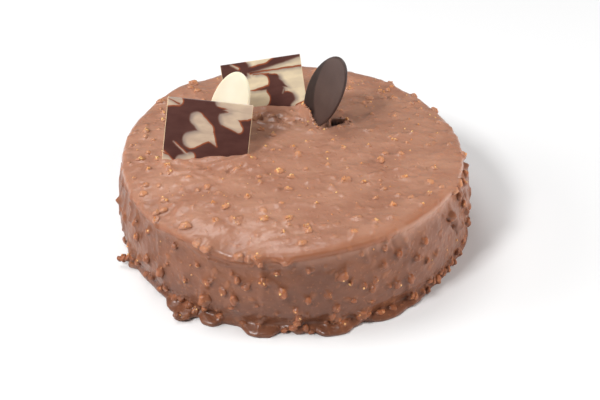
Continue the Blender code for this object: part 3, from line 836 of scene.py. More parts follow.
def decor_matrix(name):
    """Place of a decoration: width along X, front to -Y, height along Z."""
    centre, turn, lean, roll = PLACES[name]
    turned = Matrix.Rotation(math.radians(turn), 4, "Z")
    leaned = Matrix.Rotation(math.radians(-lean), 4, "X")
    rolled = Matrix.Rotation(math.radians(roll), 4, "Y")
    return Matrix.Translation(centre) @ turned @ leaned @ rolled


def decor_half_size(name):
    """Half the width, thickness and height of a decoration."""
    if name.startswith("plaque"):
        return Vector((PLAQUE_SIZE, PLAQUE_THICKNESS, PLAQUE_SIZE)) / 2
    return Vector((OVAL_WIDTH, OVAL_THICKNESS + OVAL_CUP, OVAL_LENGTH)) / 2


def clear_of_decor(point, reach):
    """Whether a nut of this reach keeps away from every decoration and from the torn hole."""
    for name in PLACES:
        local = decor_matrix(name).inverted() @ point
        half = decor_half_size(name)
        if all(abs(local[i]) < half[i] + reach + DECOR_MARGIN for i in range(3)):
            return False
    return (point - Vector(PIT_CENTRE)).length > max(PIT_RADII) + reach


def nut_size(number):
    """Length of the nut with this number: the later ones are smaller."""
    return NUT_SMALLEST + NUT_SIZE_RANGE * math.exp(-number / NUT_SIZE_FALL)


def draw_share(rng):
    """A place along the outline: over the top by area, or down the side, more near the foot."""
    top = LIP_RADIUS / sum(PROFILE_LENGTHS)
    if rng.random() < NUT_SHARE_TOP:
        return top * NUT_TOP_REACH * math.sqrt(rng.random())
    side = top * NUT_SIDE_START
    return side + (NUT_SIDE_END - side) * rng.random() ** NUT_SIDE_SINK


def nut_matrix(point, normal, turn, size):
    """A nut lying on the glaze with its thin side along the normal."""
    lying = normal.to_track_quat("Z", "Y").to_matrix().to_4x4()
    stretch = Matrix.Diagonal((*(size * share for share in NUT_SHAPE), 1.0))
    return Matrix.Translation(point) @ lying @ Euler(turn).to_matrix().to_4x4() @ stretch


def spread_nuts():
    """Places and sizes of the nuts, spread evenly: each takes the freest of some random places."""
    rng = random.Random(NUT_SEED)
    taken = []
    nuts = []
    for number in range(NUT_COUNT):
        size = nut_size(number)
        best = None
        for _ in range(NUT_TRIES):
            point, normal = glaze_point(draw_share(rng), rng.uniform(-180.0, 180.0))
            if point.z < size * NUT_CLEARANCE or not clear_of_decor(point, size / 2):
                continue
            free = min(((point - other).length for other in taken), default=math.inf)
            if best is None or free > best[0]:
                best = (free, point, normal)
        lean = [rng.uniform(-NUT_TURN, NUT_TURN) for _ in range(2)]
        turn = (*lean, rng.uniform(0.0, math.tau))
        if best is None:
            continue
        taken.append(best[1])
        nuts.append((nut_matrix(best[1], best[2], turn, size), size))
    return nuts


def foot_nuts():
    """Places and sizes of the nuts that stand out at the foot."""
    nuts = []
    for number, (angle, radius, height, size) in enumerate(FOOT_NUTS):
        point = Vector((*polar(radius, math.radians(angle)), height))
        spin = [number * step for step in FOOT_NUT_SPIN]
        nuts.append((nut_matrix(point, UP, spin, size), size))
    return nuts


def shown_nuts(points, normals):
    """Places, sizes and bare shares of the nuts that stand out on the top, rim and side."""
    tree = kdtree.KDTree(len(points))
    for index, point in enumerate(points):
        tree.insert(point, index)
    tree.balance()
    rng = random.Random(NUT_SEED)
    nuts = [((x, y, CAKE_HEIGHT), *nut) for x, y, *nut in TOP_NUTS]
    for angle, height, *nut in SIDE_NUTS:
        nuts.append(((*polar(SIDE_RADIUS - SEARCH_DEPTH, math.radians(angle)), height), *nut))
    placed = []
    for target, size, turn, bare in nuts:
        _, index, _ = tree.find(target)
        normal = Vector(normals[index])
        level = Vector((1.0, 0.0, 0.0))
        across = level if normal.z > LEVEL else UP.cross(normal).normalized()
        along = (across - normal * across.dot(normal)).normalized()
        lying = Matrix((along, normal.cross(along), normal)).transposed().to_4x4()
        lean = [rng.uniform(-SHOWN_LEAN, SHOWN_LEAN) for _ in range(2)]
        spin = Euler((*lean, math.radians(turn))).to_matrix().to_4x4()
        thickness = rng.uniform(*SHOWN_THICKNESS) + (SIDE_THICKENING if normal.z < STEEP else 0.0)
        shape = (SHOWN_LENGTH, rng.uniform(*SHOWN_WIDTH), thickness)
        stretch = Matrix.Diagonal((*(size * share for share in shape), 1.0))
        placed.append((Matrix.Translation(points[index]) @ lying @ spin @ stretch, size, bare))
    return placed


def placed_nuts(points, normals, rng):
    """Places, sizes and bare shares: the nuts that stand out, and those spread between them."""
    notable = shown_nuts(points, normals)
    spread = []
    for number, (matrix, size) in enumerate(spread_nuts()):
        place = matrix.translation
        in_front = place.y < FRONT_START and number > PLAIN_NUTS
        if in_front and rng.random() > FRONT_NUT_SHARE:
            continue
        others = ((other.translation, (size + span) * NUT_SPACING) for other, span, _ in notable)
        if all((place - centre).length > reach for centre, reach in others):
            spread.append((matrix, size, SPREAD_BARE * rng.random() ** 3))
    return notable, spread + [(matrix, size, FOOT_BARE) for matrix, size in foot_nuts()]


# ---------------- relief of the glaze


def to_segment(places, start, end):
    """Distance of points of a plane from a segment, and how far along it each is nearest."""
    start, end = np.array(start, float), np.array(end, float)
    along = end - start
    share = np.clip((places - start) @ along / max(along @ along, 1e-9), 0.0, 1.0)
    return np.linalg.norm(places - start - share[:, None] * along, axis=1), share


def disc_place(rng, reach):
    """A random place of the top, no further than this from its middle."""
    return polar(reach * math.sqrt(rng.random()), rng.uniform(-math.pi, math.pi))


def mound(away):
    """A soft rise that is 1 in the middle and falls off round it."""
    return np.exp(-(away**2))


class Relief:
    """Heights along the normals of the glaze, built up feature by feature."""

    def __init__(self, points, normals):
        self.points = points
        self.height, self.thin, self.hole, self.edge = np.zeros((4, len(points)))
        self.angle = np.arctan2(points[:, 1], points[:, 0])
        self.unrolled = np.stack([self.angle * SIDE_RADIUS, points[:, 2]], axis=1)
        self.on_top = ease(normals[:, 2], *TOP_TURN)
        self.on_side = 1.0 - ease(normals[:, 2], *SIDE_TURN)

    def stroke(self, start, end, half_width, height, side=False):
        """Raise or lower the glaze along a segment."""
        if side:
            start, end = ((math.radians(a) * SIDE_RADIUS, z) for a, z in (start, end))
        away, _ = to_segment(self.unrolled if side else self.points[:, :2], start, end)
        self.height += height * mound(away / half_width) * (self.on_side if side else self.on_top)

    def comb(self):
        """Soft seeded strokes all over."""
        rng = random.Random(COMB_SEED)
        for number in range(COMB_COUNT):
            height = rng.uniform(*COMB_HEIGHT) * rng.choice((1, 1, -1))
            width, length = rng.uniform(*COMB_WIDTH), rng.uniform(*COMB_LENGTH)
            on_side = number % 2 == 0
            if on_side:
                start = angle, low = rng.uniform(-180.0, 180.0), rng.uniform(*COMB_SIDE_LOW)
                end = (angle + rng.gauss(*COMB_SIDE_LEAN), min(low + length, COMB_SIDE_HIGH))
            else:
                start = disc_place(rng, COMB_TOP_REACH)
                end = polar(length, rng.gauss(*COMB_TOP_LEAN), start)
            self.stroke(start, end, width, height, on_side)

    def bumps(self):
        """Low seeded bumps over the covered bits of nut on the top."""
        rng = random.Random(BUMP_SEED)
        for _ in range(BUMP_COUNT):
            start = disc_place(rng, LIP_RADIUS)
            lean, length = rng.uniform(-math.pi, math.pi), rng.uniform(*BUMP_LENGTH)
            width, height = rng.uniform(*BUMP_WIDTH), rng.uniform(*BUMP_HEIGHT)
            self.stroke(start, polar(length, lean, start), width, height)

    def nut(self, matrix, size, bare, rng):
        """Lift the glaze over a nut."""
        squared = np.sum((self.points - np.array(matrix.translation)) ** 2, axis=1)
        near = np.flatnonzero(squared < size**2 * LIFT_REACH_SQUARED)
        if len(near) == 0:
            return
        local = seen_from(matrix, self.points[near])
        turn = np.arctan2(local[:, 1], local[:, 0])
        knobs = (reach * np.cos(count * turn + rng.uniform(0, 6)) for count, reach in LIFT_KNOBS)
        away = np.hypot(local[:, 0], local[:, 1]) * sum(knobs, start=1)
        crest, skirt = np.exp(-1.1 * away**3.0), np.exp(-0.55 * away**2)
        height = size * rng.uniform(*LIFT_SPREAD)
        height = height * (LIFT_SIDE - LIFT_LOSS_ON_TOP * self.on_top[near])
        self.height[near] += height * (LIFT_SHARES[0] * crest + LIFT_SHARES[1] * skirt)
        thin = crest * (THIN_COVERED + THIN_BARE * bare)
        self.thin[near] = np.maximum(self.thin[near], thin)

    def contact(self, name, reach, height, waves):
        """Draw the glaze up along the foot of a decoration."""
        local = seen_from(decor_matrix(name), self.points)
        half = decor_half_size(name)
        foot = half[0] * (1.0 if name.startswith("plaque") else OVAL_FOOT_SHARE)
        off = np.maximum(np.abs(local[:, 1]) - half[1], 0.0)
        beside = np.maximum(np.abs(local[:, 0]) - foot, 0.0)
        along = local[:, 0]
        mixed = 0.6 * np.sin(along * 0.61) * np.sin(along * 0.17 + 2.0)
        wavy = 1 + waves * (np.sin(along * 0.23 + 1.0) + mixed)
        self.height += height * wavy * mound(np.hypot(off, beside) / reach) * self.on_top

    def rim(self, along):
        """Even out the slope that hangs to the lip, and mark the orange edge of the glaze and its
        painted shade.
        """
        angle = np.degrees(self.angle)
        radius = np.hypot(self.points[:, 0], self.points[:, 1])
        band = ease(radius, *RIM_BAND_IN) * (1.0 - ease(radius, *RIM_BAND_OUT)) * self.on_top
        for centre, half_width, depth in RIM_SLOPES:
            self.height -= depth * band * wave(angle, centre, half_width, 4)
        for centre, half_width, place, reach, height in RIM_SWELLS:
            share = mound((radius - place) / reach) * self.on_top
            self.height += height * share * wave(angle, centre, half_width)
        for centre, half_width, place, reach, strength in RIM_EDGES_AND_SHADE:
            share = mound((along - place) / reach) * wave(angle, centre, half_width, 4)
            self.edge = np.maximum(self.edge, strength * share)

    def pit(self):
        """The torn hole beside the dark oval."""
        away = (self.points[:, :2] - np.array(PIT_CENTRE[:2])) / np.array(PIT_RADII[:2])
        turn = np.arctan2(away[:, 1], away[:, 0])
        tears = (reach * np.sin(count * turn + phase) for reach, count, phase in PIT_TEARS)
        distance = np.hypot(away[:, 0], away[:, 1]) / sum(tears, start=1)
        height, place, reach = PIT_RIM
        rim = height * mound((distance - place) / reach) * (0.6 + 0.4 * np.sin(turn * 2 + 0.6))
        self.height += (rim - PIT_RADII[2] * (1 - ease(distance, *PIT_WALL))) * self.on_top
        # Mask of the painted shade in the torn hole
        self.hole = (1 - ease(distance, *PIT_SHADE)) * self.on_top
        self.stroke(*PIT_CHANNEL)

    def climb(self, line, half_width):
        """Draw the glaze up along a line of (x, y, height) points."""
        crest = np.zeros(len(self.points))
        for (*start, low), (*end, high) in zip(line, line[1:]):
            away, share = to_segment(self.points[:, :2], start, end)
            crest = np.maximum(crest, (low + share * (high - low)) * mound(away / half_width))
        self.height += crest * self.on_top


def glaze_relief(points, normals, along, nuts):
    """All relief of the glaze."""
    relief = Relief(points, normals)
    relief.rim(along)
    relief.comb()
    relief.bumps()
    for stroke in TOP_STROKES:
        relief.stroke(*stroke)
    for stroke in SIDE_STROKES:
        relief.stroke(*stroke, side=True)
    for contact in CONTACTS:
        relief.contact(*contact)
    rng = random.Random(LIFT_SEED)
    for matrix, size, bare in nuts:
        relief.nut(matrix, size, bare, rng)
    relief.pit()
    relief.climb(CRUST, CRUST_HALF_WIDTH)
    return relief


# ---------------- glaze


def ripple_recipe():
    """Geometry Nodes: move points along their outward direction by stretched noise."""
    numbers = [(name, "NodeSocketFloat") for name in ("Height", "Density", "Seed")]
    make = GeometryRecipe("glaze_ripples", (*numbers, ("Material", "NodeSocketMaterial")))
    fine = {
        "W": make.given("Seed"),
        "Vector": make.vector("MULTIPLY", make.node("GeometryNodeInputPosition"), RIPPLE_STRETCH),
        "Scale": make.given("Density"),
        "Detail": RIPPLE_DETAIL,
    }
    ripple = make.node("ShaderNodeTexNoise", {"noise_dimensions": "4D"}, fine)
    share = (ripple - 0.5) * make.given("Height") * make.named("ripple_share", "FLOAT")
    offset = make.scaled(make.named("outward", "FLOAT_VECTOR"), share)
    inputs = {"Geometry": make.given("Geometry"), "Offset": offset}
    make.finish(make.node("GeometryNodeSetPosition", {}, inputs))
    return make


def glaze_piece(points, faces, normals, relief, material):
    """The fine glaze with its relief and ripples, kept within the solid's box."""
    off_base = ease(points[:, 2], *BASE_FADE)
    moved = points + normals * (relief.height * off_base)[:, None]
    item = mesh_object("glaze", kept_in_box(moved), faces)
    keep(item.data, "ripple_share", "FLOAT", off_base)
    for name in ("thin", "hole", "edge"):
        keep(item.data, name, "FLOAT", getattr(relief, name))
    keep(item.data, "outward", "FLOAT_VECTOR", normals)
    sizes = {"Height": RIPPLE_HEIGHT * MM, "Density": RIPPLE_DENSITY, "Seed": RIPPLE_SEED}
    ripple_recipe().apply(item, **sizes, Material=material)
    for name in ("ripple_share", "outward"):
        item.data.attributes.remove(item.data.attributes[name])
    return item


def pebbles(make, place, scale, share):
    """Round bumps of fine nut bits under the glaze, in this share of the cells."""
    warped = make.vector("MULTIPLY_ADD", make.noise(place, scale, 1.0), (0.004,) * 3, place)
    distance = make.node("ShaderNodeTexVoronoi", {}, {"Vector": warped, "Scale": scale}, "Distance")
    kind = make.node("ShaderNodeSeparateColor", {}, {"Color": distance.beside("Color")}, "Red")
    return distance.rise(0.08, 0.46, 1.0, 0.0) * kind.rise(1.0 - share, 1.02 - share)


# Colours of the glaze at the foot, up the side and on the top, and of its deep streaks: the side
# and foot ones are darker as painted shade
FOOT_MILK_PAINTED_SHADE, SIDE_MILK_PAINTED_SHADE, TOP_MILK = rgb(120, 75, 53), rgb(134, 85, 61), rgb(179, 131, 107)
DEEP_SIDE_PAINTED_SHADE, DEEP_TOP = rgb(88, 52, 38), rgb(140, 88, 66)


def glaze_colour(make, place):
    """Milk chocolate, clouded and streaked, with fine nut flecks, and painted shade that darkens it
    down the side and most at the foot.
    """
    cloud = make.noise(place, 34.0, 3.0)
    fleck = make.noise(place, 420.0, 2.0, 0.6)
    drift = make.noise(make.mapped(place, scale=(2.4, 1.0, 1.0)), 120.0, 3.0, 0.55)
    wavy = make.axis(place, "Z") + cloud * 0.012 - 0.006
    # Painted shade: the colour darkens from the top down the side, and most at the foot
    side = make.colour(wavy.rise(0.0, 0.026), FOOT_MILK_PAINTED_SHADE, SIDE_MILK_PAINTED_SHADE)
    base = make.colour(wavy.rise(0.042, 0.055), side, TOP_MILK)
    deep_tone_and_shade = make.colour(wavy.rise(0.042, 0.055), DEEP_SIDE_PAINTED_SHADE, DEEP_TOP)
    clouded = make.colour(cloud.rise(0.36, 0.66) * 0.35, base, deep_tone_and_shade)
    streaked = make.colour(drift.rise(0.35, 0.7) * 0.25, clouded, deep_tone_and_shade)
    freckled = make.colour(fleck.rise(0.60, 0.72) * 0.25, streaked, rgb(200, 132, 88))
    return freckled, wavy.rise(0.035, 0.055) * 0.22 + 0.15


GLAZE_FINISH = {
    "Subsurface Weight": 0.12,
    "Subsurface Radius": (1.0, 0.42, 0.22),
    "Subsurface Scale": 0.0016,
    "IOR": 1.47,
    "Specular IOR Level": 0.4,
    "Coat Roughness": 0.27,
}


def glaze_material():
    """Glossy milk chocolate, thin and golden over the nuts, with an orange lip edge deepened by
    painted shade, and painted shade in the torn hole.
    """
    material, make = new_material("milk_chocolate_glaze", GLAZE_FINISH)
    place = make.object_place()
    colour, shine = glaze_colour(make, place)
    golden = make.colour(make.attribute("thin").rise(0.0, 1.0) * 0.4, colour, rgb(188, 120, 80))
    patch = make.noise(place, 60.0, 2.0)
    # Orange-brown lip edge of thick glaze, darkened as painted shade where the lip turns from the
    # light
    edge = (make.attribute("edge") * patch.rise(0.25, 0.5, 0.6, 1.0)).rise(0.05, 0.7)
    edged = make.colour(edge * 0.9, golden, rgb(150, 90, 58))
    coarse, small = pebbles(make, place, 150.0, 0.3), pebbles(make, place, 290.0, 0.3)
    speckled = make.colour((coarse + small * 0.7) * 0.22, edged, rgb(196, 124, 80))
    # Painted shade darkens the torn hole
    torn = make.colour(make.attribute("hole"), speckled, rgb(58, 34, 26))
    fine = make.noise(place, 300.0, 3.0, 0.6)
    wide = make.noise(place, 110.0, 2.0)
    rough = 0.26 + patch * 0.14 + edge * 0.2
    soft = make.noise(make.mapped(place, scale=(1.5, 1.0, 1.0)), 190.0, 2.0, 0.5)
    height = fine * 0.08 + wide * 1.1 + soft * 0.5 + coarse * 0.5 + small * 0.2
    normal = make.bump(height, 1.2 * MM, 0.9)
    wire_up(make, Base_Color=torn, Roughness=rough, Coat_Weight=shine, Normal=normal)
    return material


def lump_material():
    """Chopped nuts under a coat of glaze that gets thin and orange-brown on their crests, darker
    down the side as painted shade.
    """
    material, make = new_material("coated_hazelnut", GLAZE_FINISH)
    place = make.object_place()
    colour, shine = glaze_colour(make, place)
    each = make.noise(place, 110.0, 1.0)
    fine = make.noise(place, 420.0, 3.0, 0.6)
    thin = make.attribute("crest").rise(0.0, 0.9) * each.rise(0.3, 0.7, 0.25, 0.7)
    # Painted shade: the crests are darker down the side than on the top
    up = make.axis(place, "Z").rise(0.045, 0.056)
    toasted_with_painted_shade = make.colour(up, rgb(176, 106, 68), rgb(206, 140, 94))
    coated = make.colour(thin, colour, toasted_with_painted_shade)
    worn = make.colour((fine + thin * 0.1).rise(0.60, 0.74) * 0.4, coated, rgb(214, 148, 98))
    rough = 0.30 + fine * 0.18
    normal = make.bump(fine, 0.4 * MM, 0.6)
    wire_up(make, Base_Color=worn, Roughness=rough, Coat_Weight=shine, Normal=normal)
    return material


NUT_FINISH = {
    "Subsurface Weight": 0.3,
    "Subsurface Radius": (1.0, 0.5, 0.25),
    "Subsurface Scale": 0.0012,
    "IOR": 1.46,
}


def nut_material():
    """Roasted hazelnut: golden, paler where it is cut, with chocolate smeared over it."""
    material, make = new_material("chopped_hazelnut", NUT_FINISH)
    place = make.object_place()
    patch = make.noise(place, 190.0, 2.0, 0.6)
    smear = make.noise(place, 330.0, 3.0, 0.6)
    pale = make.colour(patch.rise(0.35, 0.62), rgb(206, 134, 78), rgb(240, 196, 132))
    smeared = make.colour(smear.rise(0.42, 0.60) * 0.85, pale, rgb(190, 128, 90))
    normal = make.bump(smear, 0.5 * MM, 0.7)
    wire_up(make, Base_Color=smeared, Roughness=0.32 + smear * 0.2, Normal=normal)
    return material


# ---------------- pieces on the glaze


def chopped_nut(name, seed, cuts, divisions):
    """An uneven lump of radius 1 with this many flat cuts."""
    rng = random.Random(seed)
    form = bmesh.new()
    bmesh.ops.create_icosphere(form, subdivisions=divisions, radius=1.0)
    for point in form.verts:
        place = point.co * 1.5 + Vector((seed * 3.7, 0, 0))
        point.co *= 1 + UNEVENNESS * noise.noise(place)
    for _ in range(cuts):
        away = Vector([rng.gauss(0, 1) for _ in range(3)]).normalized()
        depth = rng.uniform(*CUT_DEPTH)
        for point in form.verts:
            over = point.co.dot(away) - depth
            if over > 0:
                point.co -= away * over * CUT_SHARE
    mesh = bpy.data.meshes.new(name)
    form.to_mesh(mesh)
    form.free()
    mesh.shade_smooth()
    keep(mesh, "crest", "FLOAT", [point.co.z for point in mesh.vertices])
    return bpy.data.objects.new(name, mesh)


def scatter_recipe():
    """Geometry Nodes: set one of the pieces of a collection on every point."""
    sockets = (("Pieces", "NodeSocketCollection"), ("Material", "NodeSocketMaterial"))
    make = GeometryRecipe("set_pieces", sockets)
    inputs = {"Collection": make.given("Pieces"), "Separate Children": True, "Reset Children": True}
    pieces = make.node("GeometryNodeCollectionInfo", {"transform_space": "ORIGINAL"}, inputs)
    inputs = {
        "Points": make.given("Geometry"),
        "Instance": pieces,
        "Pick Instance": True,
        "Instance Index": make.named("kind", "INT"),
        "Rotation": make.named("turned", "FLOAT_VECTOR"),
        "Scale": make.named("stretched", "FLOAT_VECTOR"),
    }
    make.finish(make.node("GeometryNodeInstanceOnPoints", {}, inputs))
    return make


def scattered_piece(name, matrices, material):
    """One mesh of chopped nuts at these places, given in millimetres."""
    seed, cuts, divisions = CHOPPED[name]
    shapes = [chopped_nut(f"{name}_{i}", seed + i, cuts, divisions) for i in range(SHAPES_EACH)]
    item = mesh_object(name, [m.translation for m in matrices], [])
    scales = [[c * MM for c in m.to_scale()] for m in matrices]
    keep(item.data, "turned", "FLOAT_VECTOR", [tuple(m.to_euler()) for m in matrices])
    keep(item.data, "stretched", "FLOAT_VECTOR", scales)
    keep(item.data, "kind", "INT", [i % SHAPES_EACH for i in range(len(matrices))])
    store = bpy.data.collections.new("shapes")
    for shape in shapes:
        store.objects.link(shape)
    scatter_recipe().apply(item, Pieces=store, Material=material)
    for shape in shapes:
        bpy.data.objects.remove(shape)
    bpy.data.collections.remove(store)
    places = np.empty(len(item.data.vertices) * 3, np.float32)
    item.data.vertices.foreach_get("co", places)
    kept = kept_in_box(places.reshape(-1, 3) / MM).ravel() * MM
    item.data.vertices.foreach_set("co", kept)
    return item


def nut_out(matrix):
    """The direction out of a nut, and 1 where it lies on the top down to 0 on the side."""
    out = matrix.to_3x3().col[2].normalized()
    return out, ease(out.z, *TOP_TURN)


def crest_matrix(matrix, size):
    """Place of a nut's crest: the lumps stand out less on the top than on the side."""
    out, up = nut_out(matrix)
    shift = size * (CREST_SHIFT - CREST_SINK * up)
    scale = Matrix.Diagonal((CREST_SCALE, CREST_SCALE, CREST_SCALE, 1.0))
    return Matrix.Translation(out * shift) @ matrix @ scale


def bit_matrix(point, size, rng):
    """A bit of nut of this half size, turned at random."""
    turn = Euler([rng.uniform(0, math.tau) for _ in range(3)]).to_matrix().to_4x4()
    length, thickness = rng.uniform(*BIT_LENGTH), rng.uniform(*BIT_THICKNESS)
    stretch = Matrix.Diagonal((size * length, size, size * thickness, 1.0))
    return Matrix.Translation(point) @ turn @ stretch


def stray_points(rng):
    """Places of stray bits of nut: most lie on the top."""
    points = [glaze_point(draw_share(rng), rng.uniform(-180, 180))[0] for _ in range(STRAY_BITS)]
    return [point for point in points if point.z > LIP_HEIGHT or rng.random() < SIDE_BIT_SHARE]


def bit_places(nuts, strays, rng):
    """Golden bits of nut that show through the glaze: clusters on the barest nuts, and strays."""
    places = []
    base, whole = BIT_LIMIT
    for matrix, size, bare in nuts:
        crest = crest_matrix(matrix, size)
        _, up = nut_out(matrix)
        limit = min(1.0, size / whole + base)
        for _ in range(round(bare * size * (BITS_ON_NUT + BITS_ON_TOP * up))):
            out = Vector((rng.gauss(0, BIT_SPREAD), rng.gauss(0, BIT_SPREAD), 1.0)).normalized()
            point = crest @ (out * rng.uniform(*BIT_OUT))
            places.append(bit_matrix(point, rng.uniform(*BIT_SIZE) * limit, rng))
    return places + [bit_matrix(point, rng.uniform(*STRAY_SIZE), rng) for point in strays]


def crumb_places(glaze, rng):
    """Places of the crumbs on the finished glaze: the coated ones and the bare ones."""
    places = ([], [])
    for x, y, size, bare in CRUMBS:
        high = Vector((x * MM, y * MM, CRUMB_DROP))
        _, point, _, _ = glaze.ray_cast(high, Vector((0.0, 0.0, -1.0)))
        places[bare].append(bit_matrix(point / MM, size / 2, rng))
    return places


# ---------------- decorations


PLAQUE_FINISH = {"IOR": 1.46, "Coat Weight": 0.15, "Coat Roughness": 0.25}
WHITE_FINISH = {
    "Subsurface Weight": 0.3,
    "Subsurface Radius": (1.0, 0.8, 0.5),
    "Subsurface Scale": 0.002,
}
DARK_FINISH = {"IOR": 1.5, "Coat Weight": 0.2, "Coat Roughness": 0.35}


def dress(node, material):
    """Give a solid its finish."""
    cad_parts[node].material_slots[0].material = material


def marbled_field(make, place, strokes):
    """Signed distance to the light chocolate: below 0 inside it, above 0 in the dark."""
    field = None
    for light, (x1, z1, r1), (x2, z2, r2) in strokes:
        along = Vector((x2 - x1, 0.0, z2 - z1))
        off = make.vector("SUBTRACT", place, (x1, 0.0, z1))
        share = make.vector("DOT_PRODUCT", off, along / along.length_squared, output="Value")
        share = make.node("ShaderNodeClamp", {}, {"Value": share})
        gap = make.vector("DISTANCE", off, make.scaled(along, share), output="Value")
        distance = gap - (share * (r2 - r1) + r1)
        if field is None:
            field = distance * light
        else:
            field = field.least(distance) if light > 0 else field.most(-distance)
    return field


def decor_place(make, name):
    """Where a point lies seen from the middle of a decoration, in millimetres."""
    matrix = decor_matrix(name)
    centre, turn = tuple(matrix.translation * MM), tuple(matrix.to_euler())
    return make.mapped(make.object_place(), centre, turn, (MM, MM, MM))


def marbled_material(name, plaque, strokes, creams):
    """Marbled chocolate: light strokes fade softly on the left and end in an orange fringe."""
    material, make = new_material(name, PLAQUE_FINISH)
    local = decor_place(make, plaque)
    flat = make.vector("MULTIPLY", local, (1.0, 0.0, 1.0))
    wobble = make.noise(flat, 0.22, 3.0, output="Color")
    centred = make.vector("MULTIPLY_ADD", wobble, (1.1, 0.0, 1.1), (-0.55, 0.0, -0.55))
    place = make.vector("ADD", flat, centred)
    field = marbled_field(make, place, strokes)
    leftward = marbled_field(make, make.vector("ADD", place, (-1.5, 0.0, 0.7)), strokes)
    tone = make.noise(make.vector("MULTIPLY", place, (0.35, 1.0, 1.0)), 0.22, 3.0)
    cream = make.colour(tone.rise(0.35, 0.65), *creams)
    shade = leftward.rise(-2.2, 1.2) * tone.rise(0.3, 0.6, 0.5, 0.9)
    shaded = make.colour(shade, cream, rgb(138, 122, 116))
    dark = make.colour(tone.rise(0.3, 0.7), rgb(78, 43, 37), rgb(90, 54, 47))
    fringe = field.rise(0.3, 1.3, 1.0, 0.0) * leftward.rise(-0.4, 1.2, 1.0, 0.1)
    rimmed = make.colour(fringe * tone.rise(0.3, 0.5, 0.7, 1.0), dark, rgb(158, 82, 48))
    soft = leftward.rise(-0.5, 1.5, 0.16, 0.8)
    marbled = make.colour((field / soft).rise(-1.0, 1.0), shaded, rimmed)
    half = PLAQUE_SIZE / 2
    edge = abs(make.axis(local, "X")).rise(half - 0.35, half - 0.1)
    edged = make.colour(edge, marbled, rgb(222, 196, 158))
    scuff = make.noise(local, 0.5, 3.0)
    normal = make.bump(scuff, 0.15 * MM, 0.4)
    wire_up(make, Base_Color=edged, Roughness=0.30 + scuff * 0.16, Normal=normal)
    return material


def oval_material(name, oval, tones, shadow, roughness, fixed):
    """Moulded chocolate with faint clouds, and painted shade on its rim and past the bend of its
    cup.
    """
    material, make = new_material(name, fixed)
    place = make.object_place()
    local = decor_place(make, oval)
    across = make.axis(local, "X") / (OVAL_WIDTH / 2)
    rise = make.axis(local, "Z") / (OVAL_LENGTH / 2)
    cloud = make.noise(place, 60.0, 3.0)
    grain = make.noise(place, 700.0, 2.0)
    plain = make.colour(cloud.rise(0.3, 0.7), *tones)
    # Painted shade: the part of the cup that bends away from the light, and the rim, are darkened
    right, up = across - 0.35, rise - 0.5
    away = (right * right + up * up + cloud * 0.1).rise(1.14, 1.36)
    bend = away * across.rise(0.0, 0.35, 1.0, 0.0)
    rim = (across * across + rise * rise).rise(0.86, 0.97)
    deep_tone_and_shade = make.colour(bend.most(rim * 0.5), plain, shadow)
    normal = make.bump(grain * 0.3 + cloud, 0.2 * MM, 0.35)
    wire_up(make, Base_Color=deep_tone_and_shade, Roughness=cloud * 0.12 + roughness, Normal=normal)
    return material


def dress_decorations():
    """Give each decoration its chocolate."""
    front, back = (rgb(196, 172, 150), rgb(212, 190, 164)), (rgb(216, 198, 168), rgb(232, 214, 180))
    for name, strokes, creams in (("front", FRONT_MARBLING, front), ("back", BACK_MARBLING, back)):
        plaque = f"plaque_{name}"
        dress(plaque, marbled_material(f"marbled_{name}", plaque, strokes, creams))
    white, dark = (rgb(226, 217, 192), rgb(233, 225, 202)), (rgb(72, 54, 50), rgb(82, 64, 59))
    for name, tones, shadow, roughness, finish in (
        ("white", white, rgb(228, 218, 192), 0.34, WHITE_FINISH),
        ("dark", dark, rgb(46, 34, 32), 0.38, DARK_FINISH),
    ):
        oval = f"oval_{name}"
        made = oval_material(f"{name}_chocolate", oval, tones, shadow, roughness, finish)
        dress(oval, made)


# ---------------- camera, light and floor


def set_camera():
    """The camera at the photograph's view."""
    data = bpy.data.cameras.new("camera")
    data.lens = CAMERA_LENS
    data.sensor_width = SENSOR_WIDTH
    data.clip_start = NEAREST_SEEN
    camera = bpy.data.objects.new("camera", data)
    camera.location = CAMERA_PLACE
    camera.rotation_euler = (math.radians(90 - CAMERA_PITCH), 0.0, math.radians(-CAMERA_YAW))
    bpy.context.scene.collection.objects.link(camera)
    bpy.context.scene.camera = camera


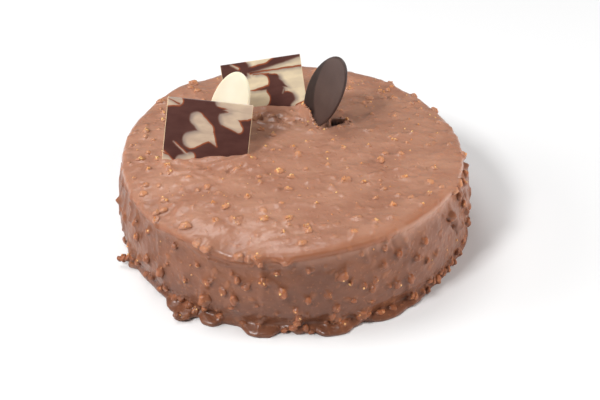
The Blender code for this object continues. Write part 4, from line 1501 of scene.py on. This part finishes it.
def softbox(name, azimuth, elevation, distance, size, power, mirrored):
    """A rectangular area light aimed at the cake."""
    data = bpy.data.lights.new(name, "AREA")
    data.shape = "RECTANGLE"
    data.size, data.size_y = size
    data.energy = power
    light = bpy.data.objects.new(name, data)
    turn, rise = math.radians(azimuth), math.radians(elevation)
    out = Vector((*polar(math.cos(rise), turn), math.sin(rise)))
    light.location = Vector(LIGHT_TARGET) + out * distance
    light.rotation_euler = out.to_track_quat("Z", "Y").to_euler()
    light.visible_glossy = mirrored
    bpy.context.scene.collection.objects.link(light)


def light_room():
    """Soft studio light and a pale room."""
    world = bpy.data.worlds.new("studio")
    bpy.context.scene.world = world
    world.use_nodes = True
    background = world.node_tree.nodes["Background"]
    background.inputs["Color"].default_value = (1.0, 1.0, 1.0, 1.0)
    background.inputs["Strength"].default_value = ROOM_LIGHT
    for name, light in SOFTBOXES.items():
        softbox(name, *light)
    bpy.context.scene.view_settings.view_transform = "Standard"


def floor():
    """A plain pale floor."""
    signs = ((-1, -1), (1, -1), (1, 1), (-1, 1))
    corners = [(x * FLOOR_REACH, y * FLOOR_REACH, FLOOR_HEIGHT) for x, y in signs]
    item = mesh_object("floor", corners, [(0, 1, 2, 3)])
    material, _ = new_material("floor", FLOOR_FINISH)
    item.data.materials.append(material)


# ---------------- everything together


def declare(item):
    """Say that a piece belongs to the cake."""
    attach(item, "root")
    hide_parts("cake")


def main():
    set_camera()
    light_room()
    floor()

    points, faces, along = glaze_grid()
    blank = mesh_object("blank", points, faces)
    normals = point_normals(blank.data)
    bpy.data.objects.remove(blank)

    rng = random.Random(NUT_SEED)
    notable, spread = placed_nuts(points, normals, rng)
    nuts = notable + spread
    relief = glaze_relief(points, normals, along, nuts)
    glaze = glaze_piece(points, faces, normals, relief, glaze_material())
    declare(glaze)

    coated = lump_material()
    sharp = [crest_matrix(matrix, size) for matrix, size, bare in notable if bare >= ROUND_BARE]
    blunt = [crest_matrix(matrix, size) for matrix, size, bare in notable if bare < ROUND_BARE]
    small = [crest_matrix(matrix, size) for matrix, size, _ in spread if size > LUMP_SIZE]
    for name, matrices in (("large_nuts", sharp), ("round_nuts", blunt), ("small_nuts", small)):
        declare(scattered_piece(name, matrices, coated))
    bits = bit_places(nuts, stray_points(rng), rng)
    crumbs, bare_crumbs = crumb_places(glaze, rng)
    declare(scattered_piece("bare_nuts", bits + bare_crumbs, nut_material()))
    declare(scattered_piece("crumbs", crumbs, coated))
    dress_decorations()


main()
